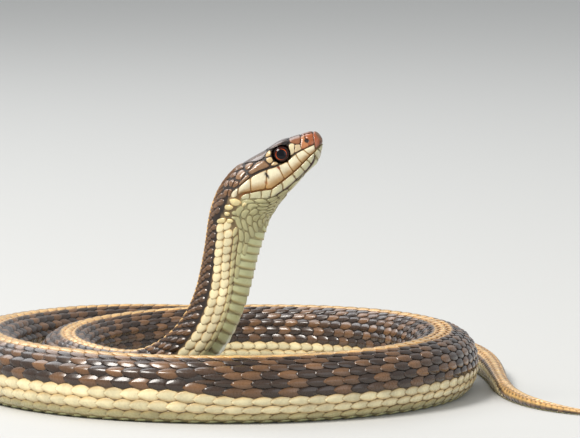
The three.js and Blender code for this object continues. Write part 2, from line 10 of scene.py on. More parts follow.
import bpy
import numpy as np
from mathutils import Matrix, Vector


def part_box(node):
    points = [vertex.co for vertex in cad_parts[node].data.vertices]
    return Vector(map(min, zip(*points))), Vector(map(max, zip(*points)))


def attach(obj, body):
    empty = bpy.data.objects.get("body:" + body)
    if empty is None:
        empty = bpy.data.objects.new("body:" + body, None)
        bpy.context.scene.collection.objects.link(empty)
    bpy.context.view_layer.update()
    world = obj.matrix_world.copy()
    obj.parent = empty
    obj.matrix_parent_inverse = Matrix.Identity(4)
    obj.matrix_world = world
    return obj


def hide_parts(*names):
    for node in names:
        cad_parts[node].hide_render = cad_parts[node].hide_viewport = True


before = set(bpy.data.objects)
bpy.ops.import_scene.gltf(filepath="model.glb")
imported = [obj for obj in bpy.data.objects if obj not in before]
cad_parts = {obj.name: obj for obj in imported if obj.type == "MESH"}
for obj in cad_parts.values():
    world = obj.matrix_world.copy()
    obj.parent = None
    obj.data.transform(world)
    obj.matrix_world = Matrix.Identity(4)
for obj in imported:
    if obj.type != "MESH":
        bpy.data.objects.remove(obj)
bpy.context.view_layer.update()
MM = 0.001
ROOT = "root"

# %% [markdown]
# ## The run of the body
# A snake is one long tube, so one curve can carry everything: a length is counted from the
# tip of the snout, and says how the body is pitched and which way it heads there. A drawn
# spline would do as well, but named pitches and headings say in words what the neck does:
# it stands nearly upright behind the head, then comes down to the floor and coils.

# %% Where the body runs
TOTAL_LENGTH = 600
VENT = 465
FLOOR_START = 78
PATH_STEP = 0.5
PITCH = [[13, 34.2], [26, 78], [33, 80], [FLOOR_START, 0]]
HEADING = [[14, -6], [28, 0], [36, 0], [FLOOR_START, -48]]
COIL_TURN = [
    [80, -1.75], [130, -1.6], [190, -1.35], [260, -1.3], [330, -1.12], [400, -1.0],
    [470, -1.1], [515, -1.2], [540, -0.6], [565, 0.6], [600, 2.4],
]


def smooth(t):
    x = np.clip(t, 0.0, 1.0)
    return x * x * (3 - 2 * x)


def passed(value, start, end):
    return smooth((value - start) / (end - start))


def blend(a, b, share):
    return a + (b - a) * share


def station_steps(stations, at):
    table = np.array(stations, float)
    at = np.clip(at, table[0, 0], table[-1, 0])
    i = np.clip(np.searchsorted(table[:, 0], at, side="right") - 1, 0, len(table) - 2)
    width = table[i + 1, 0] - table[i, 0]
    return table, i, width, (at - table[i, 0]) / width


def eased(stations, at):
    table, i, _, t = station_steps(stations, at)
    return blend(table[i, 1], table[i + 1, 1], smooth(t))


def through(stations, at, column=1):
    table, i, width, t = station_steps(stations, at)
    value = table[:, column]
    slope = np.diff(value) / np.diff(table[:, 0])
    before, after = slope[:-1], slope[1:]
    same = before * after > 0
    inner = np.where(same, 2 * before * after / np.where(same, before + after, 1), 0)
    tangent = np.concatenate([slope[:1], inner, slope[-1:]])
    swing = (1 - t) * tangent[i] - t * tangent[i + 1]
    return blend(value[i], value[i + 1], smooth(t)) + width * t * (1 - t) * swing


def curve_between(p0, p1, p2, p3, t):
    return 0.5 * (2 * p1 + (p2 - p0) * t + (2 * p0 - 5 * p1 + 4 * p2 - p3) * t**2
                  + (3 * p1 - p0 - 3 * p2 + p3) * t**3)


def direction(pitch, heading):
    p, h = np.radians(pitch), np.radians(heading)
    return np.stack([np.cos(p) * np.cos(h), np.cos(p) * np.sin(h), np.sin(p)], axis=-1)


# %% The curve itself
def run_of_body():
    steps = np.arange(1, int(TOTAL_LENGTH / PATH_STEP) + 1)
    middles = (steps - 0.5) * PATH_STEP
    headings = [float(HEADING[0][1])]
    raised = eased(HEADING, steps * PATH_STEP)
    turns = through(COIL_TURN, middles) * PATH_STEP
    for k, middle in enumerate(middles):
        headings.append(raised[k] if middle < FLOOR_START else headings[-1] + turns[k])
    headings = np.array(headings)
    forward = direction(eased(PITCH, middles), (headings[1:] + headings[:-1]) / 2)
    centres = np.vstack([np.zeros(3), np.cumsum(-PATH_STEP * forward, axis=0)])
    return centres, headings


CENTRES, HEADINGS = run_of_body()
FLOOR_CENTRE = CENTRES[int(FLOOR_START / PATH_STEP), 2]
print("the body comes down", round(-FLOOR_CENTRE, 1), "mm from the snout to the floor")

# %% [markdown]
# ## The shape of the body
# The back, belly and sides are four outlines over the length. On the head, four lines run
# along each side: the edge of the crown, the top of the lip plates, the lip and the edge of
# the jaw. A smooth section goes through them at any length. Sculpting could do the same, but
# lines that are measured keep the profile true from every side.

# %% Outlines of the body and lines of the head
# An outline's row is a length and how far the body reaches there. A row of the head's lines
# is a length, how far to the side the line runs there, and how high.
TOP = [
    [0, 2.3], [2, 2.85], [5.2, 3.85], [8.5, 4.5], [11, 4.58], [14.4, 4.85], [17.3, 5.2],
    [24, 5.3], [32, 4.95], [60, 5.5], [120, 6.2], [220, 6.9], [330, 6.8], [420, 6.0],
    [465, 4.7], [480, 4.2], [540, 2.4], [590, 1.0], [600, 0.6],
]
BOTTOM = [
    [0, 3.2], [5.7, 3.7], [10.6, 4.95], [15, 5.9], [18.4, 6.45], [24, 6.4], [32, 5.7],
    [60, 4.7], [120, 5.2], [220, 5.8], [330, 5.7], [420, 5.0], [465, 3.9], [480, 3.5],
    [540, 2.0], [590, 0.85], [600, 0.5],
]
HALF_WIDTH = [
    [20, 6.0], [24, 5.3], [30, 4.9], [60, 5.4], [120, 6.3], [220, 7.1], [330, 7.0],
    [420, 6.1], [465, 4.7], [480, 4.2], [540, 2.4], [590, 0.95], [600, 0.55],
]
CROWN_LINE = [
    [0, 1.3, 1.4], [2, 1.7, 2.15], [4, 2.15, 2.6], [5.3, 2.6, 3.1], [6.2, 3.05, 3.7],
    [7.2, 3.55, 4.0], [8.5, 3.8, 4.12], [9.6, 3.9, 4.02], [10.6, 4.05, 3.75],
    [12, 4.2, 3.65], [15, 4.3, 4.0], [18, 4.4, 4.1], [26, 4.0, 4.0],
]
LABIAL_LINE = [
    [0, 1.9, -0.1], [1.6, 2.3, 0.07], [3.5, 2.95, 0.42], [6, 3.65, 0.77], [8, 4.25, 0.75],
    [10, 4.8, 0.79], [12.4, 5.4, 1.4], [15.2, 5.85, 1.95], [18, 6.2, 2.2], [20, 6.1, 2.3],
    [26, 5.1, 1.0],
]
LIP_LINE = [
    [0, 2.15, -0.8], [2.3, 2.7, -1.17], [4.4, 3.4, -1.5], [6.4, 4.05, -1.94],
    [8, 4.5, -2.2], [10.4, 5.15, -2.42], [13.2, 5.85, -2.5], [14.7, 6.05, -1.85],
    [17.2, 6.3, -0.5], [19.5, 6.2, 0.8], [22, 5.85, 0.4], [26, 5.2, -0.8],
]
JAW_LINE = [
    [0, 1.5, -1.7], [3.3, 2.5, -2.3], [4.8, 2.9, -3.0], [6.4, 3.3, -3.55], [8, 3.8, -3.95],
    [11.7, 4.8, -4.45], [15, 5.5, -4.4], [18, 5.7, -4.2], [22, 5.3, -4.2], [26, 4.6, -4.5],
]
HEAD_LINES = [CROWN_LINE, LABIAL_LINE, LIP_LINE, JAW_LINE]
LIP = 3
BELLY_LINE = 5
BODY_ANGLES = [[0, 0], [1, 38], [2, 80], [3, 102], [4, 128], [5, 180]]
NECK_FLATNESS = 0.98
BODY_FLATNESS = 0.84
BLEND_START, BLEND_END = 19, 26


# %% Sections
def frame_at(along):
    at = np.clip(np.asarray(along, float) / PATH_STEP, 0, len(HEADINGS) - 1.0001)
    k = at.astype(int)
    t = at - k
    centre = blend(CENTRES[k], CENTRES[k + 1], t[..., None])
    heading = blend(HEADINGS[k], HEADINGS[k + 1], t)
    forward = direction(eased(PITCH, along), heading)
    left = direction(np.zeros_like(heading), heading + 90)
    up = np.cross(forward, left)
    centre[..., 2] += through(BOTTOM, np.maximum(along, FLOOR_START)) - FLOOR_CENTRE
    return centre, forward, left, up


def bend(value):
    return np.sign(value) * np.abs(value) ** BODY_FLATNESS


def body_section(along, line):
    top, bottom = through(TOP, along), through(BOTTOM, along)
    angle = np.radians(through(BODY_ANGLES, line))
    lying = passed(along, BLEND_END, FLOOR_START)
    half = (top + bottom) / (1 + blend(NECK_FLATNESS, BODY_FLATNESS, lying))
    height = top - half + half * bend(np.cos(angle))
    return through(HALF_WIDTH, along) * bend(np.sin(angle)), np.maximum(height, -bottom)


def head_section(along, line):
    nothing = np.zeros_like(along)
    points = [[nothing, through(TOP, along)]]
    points += [[through(s, along, 1), through(s, along, 2)] for s in HEAD_LINES]
    points += [[nothing, -through(BOTTOM, along)]]
    points = [[-points[1][0], points[1][1]]] + points + [[-points[4][0], points[4][1]]]
    points = np.array(points)
    k = np.minimum(line.astype(int), BELLY_LINE - 1)
    t = line - k
    each = np.arange(len(along))
    return curve_between(*[points[k + n, :, each].T for n in range(4)], t)


# %% The skin as a function of length and line
SNOUT_ROUND = {"length": 2.5, "width": 2.2, "upper": 3.8}
CHIN_ROUND = {"length": 4, "power": 1.2}
MOUTH_FRONT = {"setback": 0.8, "power": 5, "fade": 3, "height": -0.8}
CHIN_SETBACK, CHIN_SETBACK_END = 0.6, 3


def rounded(at, length, power):
    x = np.clip(at / length, 0, 1)
    return (1 - (1 - x) ** power) ** (1 / power)


def local_skin(along, around):
    shape = np.broadcast(along, around).shape
    along = np.broadcast_to(np.asarray(along, float), shape).ravel().copy()
    around = np.broadcast_to(np.asarray(around, float), shape).ravel()
    line = (around + BELLY_LINE) % (2 * BELLY_LINE) - BELLY_LINE
    at = np.abs(line)
    width, height = np.zeros_like(along), np.zeros_like(along)
    head = along < BLEND_END
    width[head], height[head] = head_section(along[head], at[head])
    body = along > BLEND_START
    body_width, body_height = body_section(along[body], at[body])
    share = passed(along[body], BLEND_START, BLEND_END)
    width[body] = blend(width[body], body_width, share)
    height[body] = blend(height[body], body_height, share)
    upper = rounded(along, SNOUT_ROUND["length"], SNOUT_ROUND["upper"])
    lower = rounded(along, CHIN_ROUND["length"], CHIN_ROUND["power"])
    below = smooth(at - LIP)
    width *= rounded(along, SNOUT_ROUND["length"], SNOUT_ROUND["width"])
    height = blend(MOUTH_FRONT["height"], height, blend(upper, lower, below))
    chin_back = CHIN_SETBACK * (1 - smooth(along / CHIN_SETBACK_END))
    rise = (height - MOUTH_FRONT["height"]) / (through(TOP, along) - MOUTH_FRONT["height"])
    lip_back = MOUTH_FRONT["setback"] * (1 - np.clip(rise, 0, 1)) ** MOUTH_FRONT["power"]
    lip_back *= 1 - smooth(along / MOUTH_FRONT["fade"])
    setback = blend(lip_back, chin_back, below)
    centre, _, left, up = frame_at(along + setback)
    point = centre - left * (np.sign(line) * width)[:, None] + up * height[:, None]
    return point.reshape(shape + (3,))


# %% Setting the skin where the solids are
EYE = {"along": 8.2, "side": 3.5, "height": 2.1, "radius": 1.72, "bulge": 1.2,
       "forward": 14, "up": 6}


def eye_place(side):
    centre, forward, left, up = frame_at(np.array(float(EYE["along"])))
    axis = -side * left + math.tan(math.radians(EYE["forward"])) * forward
    axis = axis + math.tan(math.radians(EYE["up"])) * up
    place = centre - side * EYE["side"] * left + EYE["height"] * up
    return place, axis / np.linalg.norm(axis), forward, up


low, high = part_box("eye_right")
SHIFT = (np.array(low) + np.array(high)) / 2 / MM - eye_place(1)[0]
SHIFT[2] = 0
print("shift to the frame, mm", np.round(SHIFT, 3))


def skin_at(along, around):
    return local_skin(along, around) + SHIFT


def skin_out(along, around, reach=0.05):
    ahead = local_skin(np.maximum(along - reach, 0), around)
    lengthwise = local_skin(along + reach, around) - ahead
    across = local_skin(along, around + reach) - local_skin(along, around - reach)
    out = np.cross(lengthwise, across)
    return out / np.maximum(np.linalg.norm(out, axis=-1, keepdims=True), 1e-9)


# %% [markdown]
# ## Even steps round the body
# Scales lie in even rows round the body, but the lines above aren't evenly spaced. So a
# table holds, for each length, which line lies at which share of the way from the middle of
# the back (0) to the middle of the belly (1).

# %% Share of the girth to line
TABLE_LENGTHS = np.concatenate([np.arange(0.5, 40, 0.5), np.arange(40, 601, 4)])
TABLE_LINES = np.linspace(0, BELLY_LINE, 81)
TABLE_SHARES = np.linspace(0, 1, 81)


def girth_table():
    ring = local_skin(TABLE_LENGTHS[:, None], TABLE_LINES[None, :])
    steps = np.linalg.norm(np.diff(ring, axis=1), axis=2)
    arc = np.concatenate([np.zeros((len(ring), 1)), np.cumsum(steps, axis=1)], axis=1)
    shares = arc / arc[:, -1:]
    lines = [np.interp(TABLE_SHARES, row, TABLE_LINES) for row in shares]
    return np.array(lines), arc[:, -1]


LINE_TABLE, HALF_GIRTH = girth_table()
TURN_LINES = np.linspace(0, BELLY_LINE, 101)
TURN_TABLE = np.array([np.interp(TURN_LINES, row, TABLE_SHARES) for row in LINE_TABLE])


def half_girth(along):
    return np.interp(along, TABLE_LENGTHS, HALF_GIRTH)


def line_at(along, turn):
    turn = (np.asarray(turn, float) + 1) % 2 - 1
    share = np.abs(turn) * (len(TABLE_SHARES) - 1)
    column = np.minimum(share.astype(int), len(TABLE_SHARES) - 2)
    across = share - column
    row = np.interp(along, TABLE_LENGTHS, np.arange(len(TABLE_LENGTHS)))
    k = np.minimum(row.astype(int), len(TABLE_LENGTHS) - 2)
    down = row - k
    near = blend(LINE_TABLE[k, column], LINE_TABLE[k, column + 1], across)
    far = blend(LINE_TABLE[k + 1, column], LINE_TABLE[k + 1, column + 1], across)
    return np.sign(turn) * blend(near, far, down)


def turn_at(along, line):
    at = np.abs((np.asarray(line, float) + BELLY_LINE) % (2 * BELLY_LINE) - BELLY_LINE)
    k = np.round(np.interp(along, TABLE_LENGTHS, np.arange(len(TABLE_LENGTHS)))).astype(int)
    place = at / BELLY_LINE * (len(TURN_LINES) - 1)
    column = np.minimum(place.astype(int), len(TURN_LINES) - 2)
    share = blend(TURN_TABLE[k, column], TURN_TABLE[k, column + 1], place - column)
    return np.sign(line) * share


print("girth at the neck and middle, mm", np.round(2 * half_girth([30, 250]), 1))

# %% [markdown]
# ## Markings
# The live animal has a pale stripe down the middle of the back and one low on each side,
# with brown between them, two rows of black spots in the brown, and a greenish cream belly.
# The same function paints the skin and the scales, so they always agree. Colours are given
# as they look on a screen and turned into the light values that the shaders use.


# %% Colours
def tone(red, green, blue):
    seen = np.array([red, green, blue]) / 255
    return np.where(seen <= 0.04045, seen / 12.92, ((seen + 0.055) / 1.055) ** 2.4)


BLACK_SKIN = tone(22, 16, 13)
BROWN_SCALE = tone(118, 84, 54)
DARK_SCALE = tone(46, 33, 25)
CREAM = tone(232, 219, 176)
OCHRE = tone(205, 158, 92)
BACK_STRIPE = tone(222, 182, 120)
BELLY_GREEN = tone(196, 196, 146)
TAN = tone(176, 142, 104)
SEAM_BROWN = tone(140, 96, 52)
SEAM_DARK = tone(52, 24, 16)
GAP_SHADE_BROWN = tone(88, 62, 36)
THROAT_DULL = tone(120, 100, 66)
LIP_BROWN = tone(150, 98, 48)
NOSE_BROWN = tone(142, 86, 50)
NOSE_ORANGE = tone(172, 84, 40)
NOSE_PALE = tone(206, 176, 160)
LABIAL_OCHRE_SHADE = tone(168, 122, 56)
JAW_DARK = tone(64, 22, 9)
RIM_SHADE_TINT = tone(214, 176, 120)
IRIS = tone(40, 10, 6)
IRIS_RING = tone(226, 92, 26)
IRIS_RIM = tone(10, 6, 6)
PUPIL = tone(5, 6, 14)

# %% Rows of scales
ROWS = 9
NAPE_EDGE, NECK_EDGE, BODY_EDGE = 0.44, 0.54, 0.76
# How wide each row lies on the neck, from the back down, against the even rows of the body
NECK_ROWS = [0.7, 0.5, 0.5, 0.6, 0.8, 1.1, 1.35, 1.7, 1.7, 0.9]
# Each row that ends before the tip of the tail, and the length at which it does
ROW_ENDS = [[4, 290], [5, 290], [2, 462], [3, 462], [6, 505], [7, 505], [8, 560], [9, 560]]
ROW_FADE = 14


def belly_edge(along):
    neck = blend(NAPE_EDGE, NECK_EDGE, passed(along, 23, 28))
    return blend(neck, BODY_EDGE, passed(along, 26, 60))


def row_places(along):
    on_body = passed(along, 28, 78)
    weights = np.array([blend(width, 1.0, on_body) for width in NECK_ROWS])
    weights[0] *= 0.5
    weights[7:] *= blend(0.4, 1.0, passed(along, 22.5, 26.5))
    for row, end in ROW_ENDS:
        weights[row] *= 1 - smooth((along - end) / ROW_FADE)
    weights *= belly_edge(along) / weights.sum(axis=0)
    return np.cumsum(weights, axis=0) - weights / 2, weights


def row_at(along, side):
    centres, widths = row_places(along)
    inner = centres - widths / 2
    share = np.clip((side - inner) / np.maximum(widths, 1e-4), 0, 1)
    share[0] *= 0.5
    return share.sum(axis=0)


# %% Steps along the body
SCALE_PITCH = [
    [12, 1.5], [30, 1.6], [60, 2.2], [120, 3.0], [330, 3.3], [440, 2.9], [465, 2.7],
    [520, 2.1], [600, 1.5],
]
COUNT_STEP = 0.25
count_lengths = np.arange(8.0, TOTAL_LENGTH + 1.0, COUNT_STEP)
count_steps = COUNT_STEP / through(SCALE_PITCH, count_lengths[:-1] + COUNT_STEP / 2)
count_so_far = np.concatenate([[0], np.cumsum(count_steps)])


def scale_count(along):
    return np.interp(along, count_lengths, count_so_far)


def length_of_count(count):
    return np.interp(count, count_so_far, count_lengths)


print("scales in one row", round(count_so_far[-1]))

# %% The pattern itself
SPOT_PITCH = 2.7
SPOT_SHARE = [0.2, 0.75]
UPPER_SPOTS, LOWER_SPOTS = [0.9, 3.5], [3.6, 6.3]
LIGHT_STRIPE = [6.5, 8.5]


def mix(a, b, share):
    return a + (b - a) * np.asarray(share)[..., None]


def band(value, low_edge, high_edge, soft):
    rising = smooth((value - low_edge) / soft + 0.5)
    return rising * (1 - smooth((value - high_edge) / soft + 0.5))


def markings(along, turn):
    side = np.abs(turn)
    row = row_at(along, side)
    count = scale_count(along) / SPOT_PITCH
    brown = mix(BROWN_SCALE, DARK_SCALE, 0.35 * band(row, 6.0, 6.4, 0.5))
    upper = band(count % 1, *SPOT_SHARE, 0.12) * band(row, *UPPER_SPOTS, 0.4)
    lower = band((count + 0.5) % 1, *SPOT_SHARE, 0.12) * band(row, *LOWER_SPOTS, 0.4)
    spotted = blend(0.3, 0.88, passed(along, 26, 66))
    colour = mix(brown, DARK_SCALE, spotted * np.maximum(upper, lower))
    on_body = passed(along, 18, 23)
    stripe = blend(1.9, 0.95, passed(along, 45, 75))
    colour = mix(colour, BACK_STRIPE, (1 - smooth((row - stripe) / 0.3 + 0.5)) * on_body)
    colour = mix(colour, CREAM, band(row, *LIGHT_STRIPE, 0.2) * on_body)
    low_row = smooth((row - LIGHT_STRIPE[1]) / 0.2 + 0.5)
    colour = mix(colour, mix(BELLY_GREEN, TAN, 0.35), low_row * on_body)
    belly = smooth((side - belly_edge(along)) / 0.01 + 0.5)
    return mix(colour, BELLY_GREEN, belly)


# %% [markdown]
# ## The skin
# Between the scales the skin of the animal shows: near black on the back and pale under the
# throat. One mesh follows the whole body, from the lips to the tip of the tail, so no seam
# shows. It lies a little inside the solids, by the depth of the coat. A metaball or a curve
# with a bevel would be quicker, but a grid over length and line gives every ring its shape.

# %% Meshes from points
COAT_DEPTH = 0.17


def placed(name, data):
    thing = bpy.data.objects.new(name, data)
    bpy.context.scene.collection.objects.link(thing)
    return thing


def paint_layer(mesh, colours):
    layer = mesh.color_attributes.new("paint", "FLOAT_COLOR", "POINT")
    whole = np.ones((len(mesh.vertices), 4), np.float32)
    whole[:, :3] = colours
    layer.data.foreach_set("color", whole.ravel())


def vectors_layer(mesh, key, values):
    layer = mesh.attributes.new(key, "FLOAT_VECTOR", "POINT")
    layer.data.foreach_set("vector", np.asarray(values, np.float32).ravel())


def corner_points(mesh):
    corners = np.empty(len(mesh.loops), int)
    mesh.loops.foreach_get("vertex_index", corners)
    return corners


def uv_layer(mesh, corner_uvs):
    layer = mesh.uv_layers.new(name="OFBake")
    layer.data.foreach_set("uv", corner_uvs.astype(np.float32).ravel())


def raw_mesh(name, points, faces):
    mesh = bpy.data.meshes.new(name)
    mesh.from_pydata(np.asarray(points).tolist(), [], faces)
    mesh.polygons.foreach_set("use_smooth", [True] * len(mesh.polygons))
    return mesh


def new_mesh(name, points, faces, material, colours, uvs=None):
    mesh = raw_mesh(name, points * MM, faces)
    mesh.materials.append(material)
    paint_layer(mesh, colours)
    if uvs is not None:
        uv_layer(mesh, uvs[corner_points(mesh)])
    return placed(name, mesh)


# %% Faces between rings of points, and over a sheet of points
def ring_faces(rings, count, start=0):
    grid = start + np.arange(rings * count).reshape(rings, count)
    turned = np.roll(grid, -1, axis=1)
    quads = np.stack([grid[:-1], grid[1:], turned[1:], turned[:-1]], axis=-1)
    return grid, turned, quads.reshape(-1, 4).tolist()


def fan(point, first, second):
    return [[point, int(a), int(b)] for a, b in zip(first, second)]


def sheet_faces(rows, columns):
    grid = np.arange(rows * columns).reshape(rows, columns)
    quads = np.stack([grid[:-1, :-1], grid[1:, :-1], grid[1:, 1:], grid[:-1, 1:]], axis=-1)
    rim = [*grid[:, 0], *grid[-1, 1:], *grid[-2::-1, -1], *grid[0, -2:0:-1]]
    rim = [int(k) for k in rim]
    return quads.reshape(-1, 4).tolist(), list(zip(rim, rim[1:] + rim[:1]))


# %% The unwrap that every piece of the coat shares
# Each strip of the map: the lengths where it starts and ends, and its lower and upper edge
MAP_EDGE, MAP_WIDTH = 0.01, 0.97
STRIPS = [[0, 27, 0.01, 0.37], [27, 150, 0.38, 0.53], [150, 290, 0.54, 0.69],
          [290, 440, 0.70, 0.85], [440, 601, 0.86, 0.99]]


def unwrap(along, turn, strip_of=None):
    along = np.asarray(along, float)
    turn = (np.asarray(turn, float) + 1) % 2 - 1
    u, v = np.zeros_like(along), np.zeros_like(along)
    chosen = along if strip_of is None else strip_of
    for start, end, bottom_edge, top_edge in STRIPS:
        inside = (chosen >= start) & (chosen < end)
        u[inside] = MAP_EDGE + MAP_WIDTH * (along[inside] - start) / (end - start)
        v[inside] = blend(bottom_edge, top_edge, (turn[inside] + 1) / 2)
    return np.stack([np.clip(u, 0.002, 0.998), v], axis=-1)


# %% Materials: a common start
def new_material(name, roughness, specular=0.5, coat=0.0, coat_roughness=0.1):
    material = bpy.data.materials.new(name)
    material.use_nodes = True
    nodes, links = material.node_tree.nodes, material.node_tree.links
    shader = nodes["Principled BSDF"]
    shader.inputs["Roughness"].default_value = roughness
    shader.inputs["Specular IOR Level"].default_value = specular
    shader.inputs["Coat Weight"].default_value = coat
    shader.inputs["Coat Roughness"].default_value = coat_roughness
    return material, nodes, links, shader


def noise(nodes, links, scale, detail=3.0):
    place = nodes.new("ShaderNodeTexCoord")
    grain = nodes.new("ShaderNodeTexNoise")
    grain.inputs["Scale"].default_value = scale
    grain.inputs["Detail"].default_value = detail
    links.new(place.outputs["Object"], grain.inputs["Vector"])
    return grain.outputs["Fac"]


def ramp(nodes, links, value, low_value, high_value, start=0.3, end=0.7):
    spread = nodes.new("ShaderNodeMapRange")
    spread.inputs["From Min"].default_value = start
    spread.inputs["From Max"].default_value = end
    spread.inputs["To Min"].default_value = low_value
    spread.inputs["To Max"].default_value = high_value
    links.new(value, spread.inputs["Value"])
    return spread.outputs["Result"]


def tinted(nodes, links, colour, factor):
    scale = nodes.new("ShaderNodeVectorMath")
    scale.operation = "SCALE"
    links.new(colour, scale.inputs[0])
    links.new(factor, scale.inputs["Scale"])
    return scale.outputs["Vector"]


def bumped(nodes, links, shader, height, strength, distance):
    bump = nodes.new("ShaderNodeBump")
    bump.inputs["Strength"].default_value = strength
    bump.inputs["Distance"].default_value = distance
    links.new(height, bump.inputs["Height"])
    links.new(bump.outputs["Normal"], shader.inputs["Normal"])


BLOTCH_SIZE = 420


def painted_material(name, roughness, coat, mottle, grain_size, grain_depth, specular=0.5):
    material, nodes, links, shader = new_material(name, roughness, specular, coat)
    paint = nodes.new("ShaderNodeAttribute")
    paint.attribute_name = "paint"
    blotch = ramp(nodes, links, noise(nodes, links, BLOTCH_SIZE), 1 - mottle, 1 + mottle)
    links.new(tinted(nodes, links, paint.outputs["Color"], blotch), shader.inputs["Base Color"])
    fine = noise(nodes, links, grain_size, 2.0)
    rough = ramp(nodes, links, fine, roughness * 0.75, roughness * 1.3)
    links.new(rough, shader.inputs["Roughness"])
    bumped(nodes, links, shader, fine, 0.35, grain_depth)
    return material


skin_finish = painted_material("soft_skin", roughness=0.55, coat=0.0, mottle=0.18,
                               grain_size=2600, grain_depth=0.00004)
plate_finish = painted_material("head_plates", roughness=0.26, coat=0.5, mottle=0.16,
                                grain_size=1500, grain_depth=0.00003)
scale_finish = painted_material("body_scales", roughness=0.28, coat=0.4, mottle=0.16,
                                grain_size=1800, grain_depth=0.00003)
belly_finish = painted_material("belly_scutes", roughness=0.34, coat=0.25, mottle=0.08,
                                grain_size=1200, grain_depth=0.00002)

# %% [markdown]
# ### The sockets of the eyes and the mouth line
# The eye of a snake has no lids. It sits behind one clear scale, in a shallow cup between the
# brow and the lip plates. Points of the skin near the eye are pushed in to make that cup.
# The mouth line is a narrow groove that runs back past the eye and turns up at its end.

# %% Pushing points about
MOUTH_END = 19.6
MOUTH_DEPTH = 0.22
SOCKET_RADIUS = 1.84
SOCKET_DEPTH = 1.5
PLATES_FADE = [16, 20]


def coat_depth(along):
    return COAT_DEPTH * (1 - 0.4 * passed(along, *PLATES_FADE)) * rounded(along, 2, 2)


def eye_axes(side):
    place, axis, forward, up = eye_place(side)
    along_eye = forward - np.dot(forward, axis) * axis
    along_eye /= np.linalg.norm(along_eye)
    upright = np.cross(axis, along_eye)
    upright *= np.sign(np.dot(upright, up))
    return place + SHIFT, along_eye, upright, axis


def eye_view(points, side):
    middle, *axes = eye_axes(side)
    return (points - middle) @ np.array(axes).T, axes


def cupped(points):
    points = points.copy()
    for side in (-1, 1):
        seen, (_, _, axis) = eye_view(points, side)
        radius = np.hypot(seen[..., 0], seen[..., 1])
        near = (radius < SOCKET_RADIUS + 0.4) & (seen[..., 2] > -SOCKET_DEPTH)
        depth = SOCKET_DEPTH * (1 - smooth((radius - SOCKET_RADIUS + 0.25) / 0.5))
        points[near] -= (axis * depth[..., None])[near]
    return points


# %% The skin mesh
SKIN_RINGS = np.concatenate([
    [0.004, 0.03, 0.09, 0.18, 0.3, 0.45, 0.65, 0.85], np.arange(1.05, 26, 0.15),
    np.arange(26, 60, 0.5), np.arange(60, 599.6, 1.15), [599.9],
])
LIP_COLUMNS = [2.9, 2.96, 2.985, 3, 3.015, 3.04, 3.1]
SIDE_COLUMNS = np.union1d(np.linspace(0, BELLY_LINE, 43), LIP_COLUMNS)
GROOVE_HALF, GROOVE_EDGE = 0.015, 0.07


def make_skin():
    columns = np.concatenate([SIDE_COLUMNS, -SIDE_COLUMNS[-2:0:-1]])
    along, line = np.meshgrid(SKIN_RINGS, columns, indexing="ij")
    open_mouth = 1 - passed(along, MOUTH_END - 1.5, MOUTH_END)
    groove = MOUTH_DEPTH * open_mouth * rounded(along, 2, 2)
    groove = groove * (1 - smooth((np.abs(np.abs(line) - LIP) - GROOVE_HALF) / GROOVE_EDGE))
    depth = coat_depth(along) + groove
    points = skin_at(along, line) - skin_out(along, line) * depth[..., None]
    points[..., 2] = np.maximum(points[..., 2], 0.06)
    points = cupped(points)
    grid, turned, faces = ring_faces(*along.shape)
    faces += fan(grid.size, grid[0], turned[0]) + fan(grid.size + 1, turned[-1], grid[-1])
    tip_point = skin_at(np.array([0.0]), np.array([float(LIP)]))
    end_point = frame_at(np.array([float(TOTAL_LENGTH)]))[0] + SHIFT
    points = np.vstack([points.reshape(-1, 3), tip_point, end_point])
    turn = turn_at(along.ravel(), line.ravel())
    colours = skin_paint(along.ravel(), line.ravel(), turn)
    colours = np.vstack([colours, colours[:1], colours[-1:]])
    return points, faces, colours, along.ravel(), turn


CHIN_EDGE = [[1, 4.1], [3.5, 4.08], [5.5, 3.98], [8.5, 3.87], [12, 3.84], [15, 3.74], [16.7, 3.55],
             [18.75, 3.36], [20, 3.15]]


def skin_paint(along, line, turn):
    side = np.abs(turn)
    colour = markings(along, turn)
    on_body = passed(along, 19, 22)
    head_back = 1 - passed(np.abs(line), 2.06, 2.12)
    dark_rows = 1 - passed(row_at(along, side), 6.3, 6.7)
    stripe = passed(colour.mean(axis=1), 0.2, 0.3) * on_body
    back = blend(head_back, dark_rows, on_body) * (1 - 0.7 * stripe)
    colour = mix(colour, BLACK_SKIN, 0.92 * back)
    colour = mix(colour, SEAM_BROWN, (1 - back) * (1 - on_body) * (np.abs(line) < 3.05))
    # Under the pale rows the skin is painted dark brown: painted shade in the gaps between the pale scales.
    pale_row_gap_shade = (1 - back) * on_body * (1 - smooth((side - belly_edge(along)) / 0.02))
    colour = mix(colour, GAP_SHADE_BROWN, 0.85 * pale_row_gap_shade)
    colour = mix(colour, THROAT_DULL, 0.55 * (1 - back))
    lip = 1 - passed(np.abs(np.abs(line) - LIP), 0.05, 0.1)
    on_head = 1 - passed(along, 19, 20.5)
    colour = mix(colour, LIP_BROWN, lip * on_head)
    jaw = 1 - passed(np.abs(np.abs(line) - through(CHIN_EDGE, along)), 0.12, 0.18)
    return mix(colour, SEAM_DARK, jaw * (1 - passed(along, 12, 16)))


skin_points, skin_faces, skin_colours, skin_lengths, skin_turns = make_skin()
skin_along = np.concatenate([skin_lengths, [0, TOTAL_LENGTH]])
skin_turn = np.concatenate([skin_turns, [0, 0]])


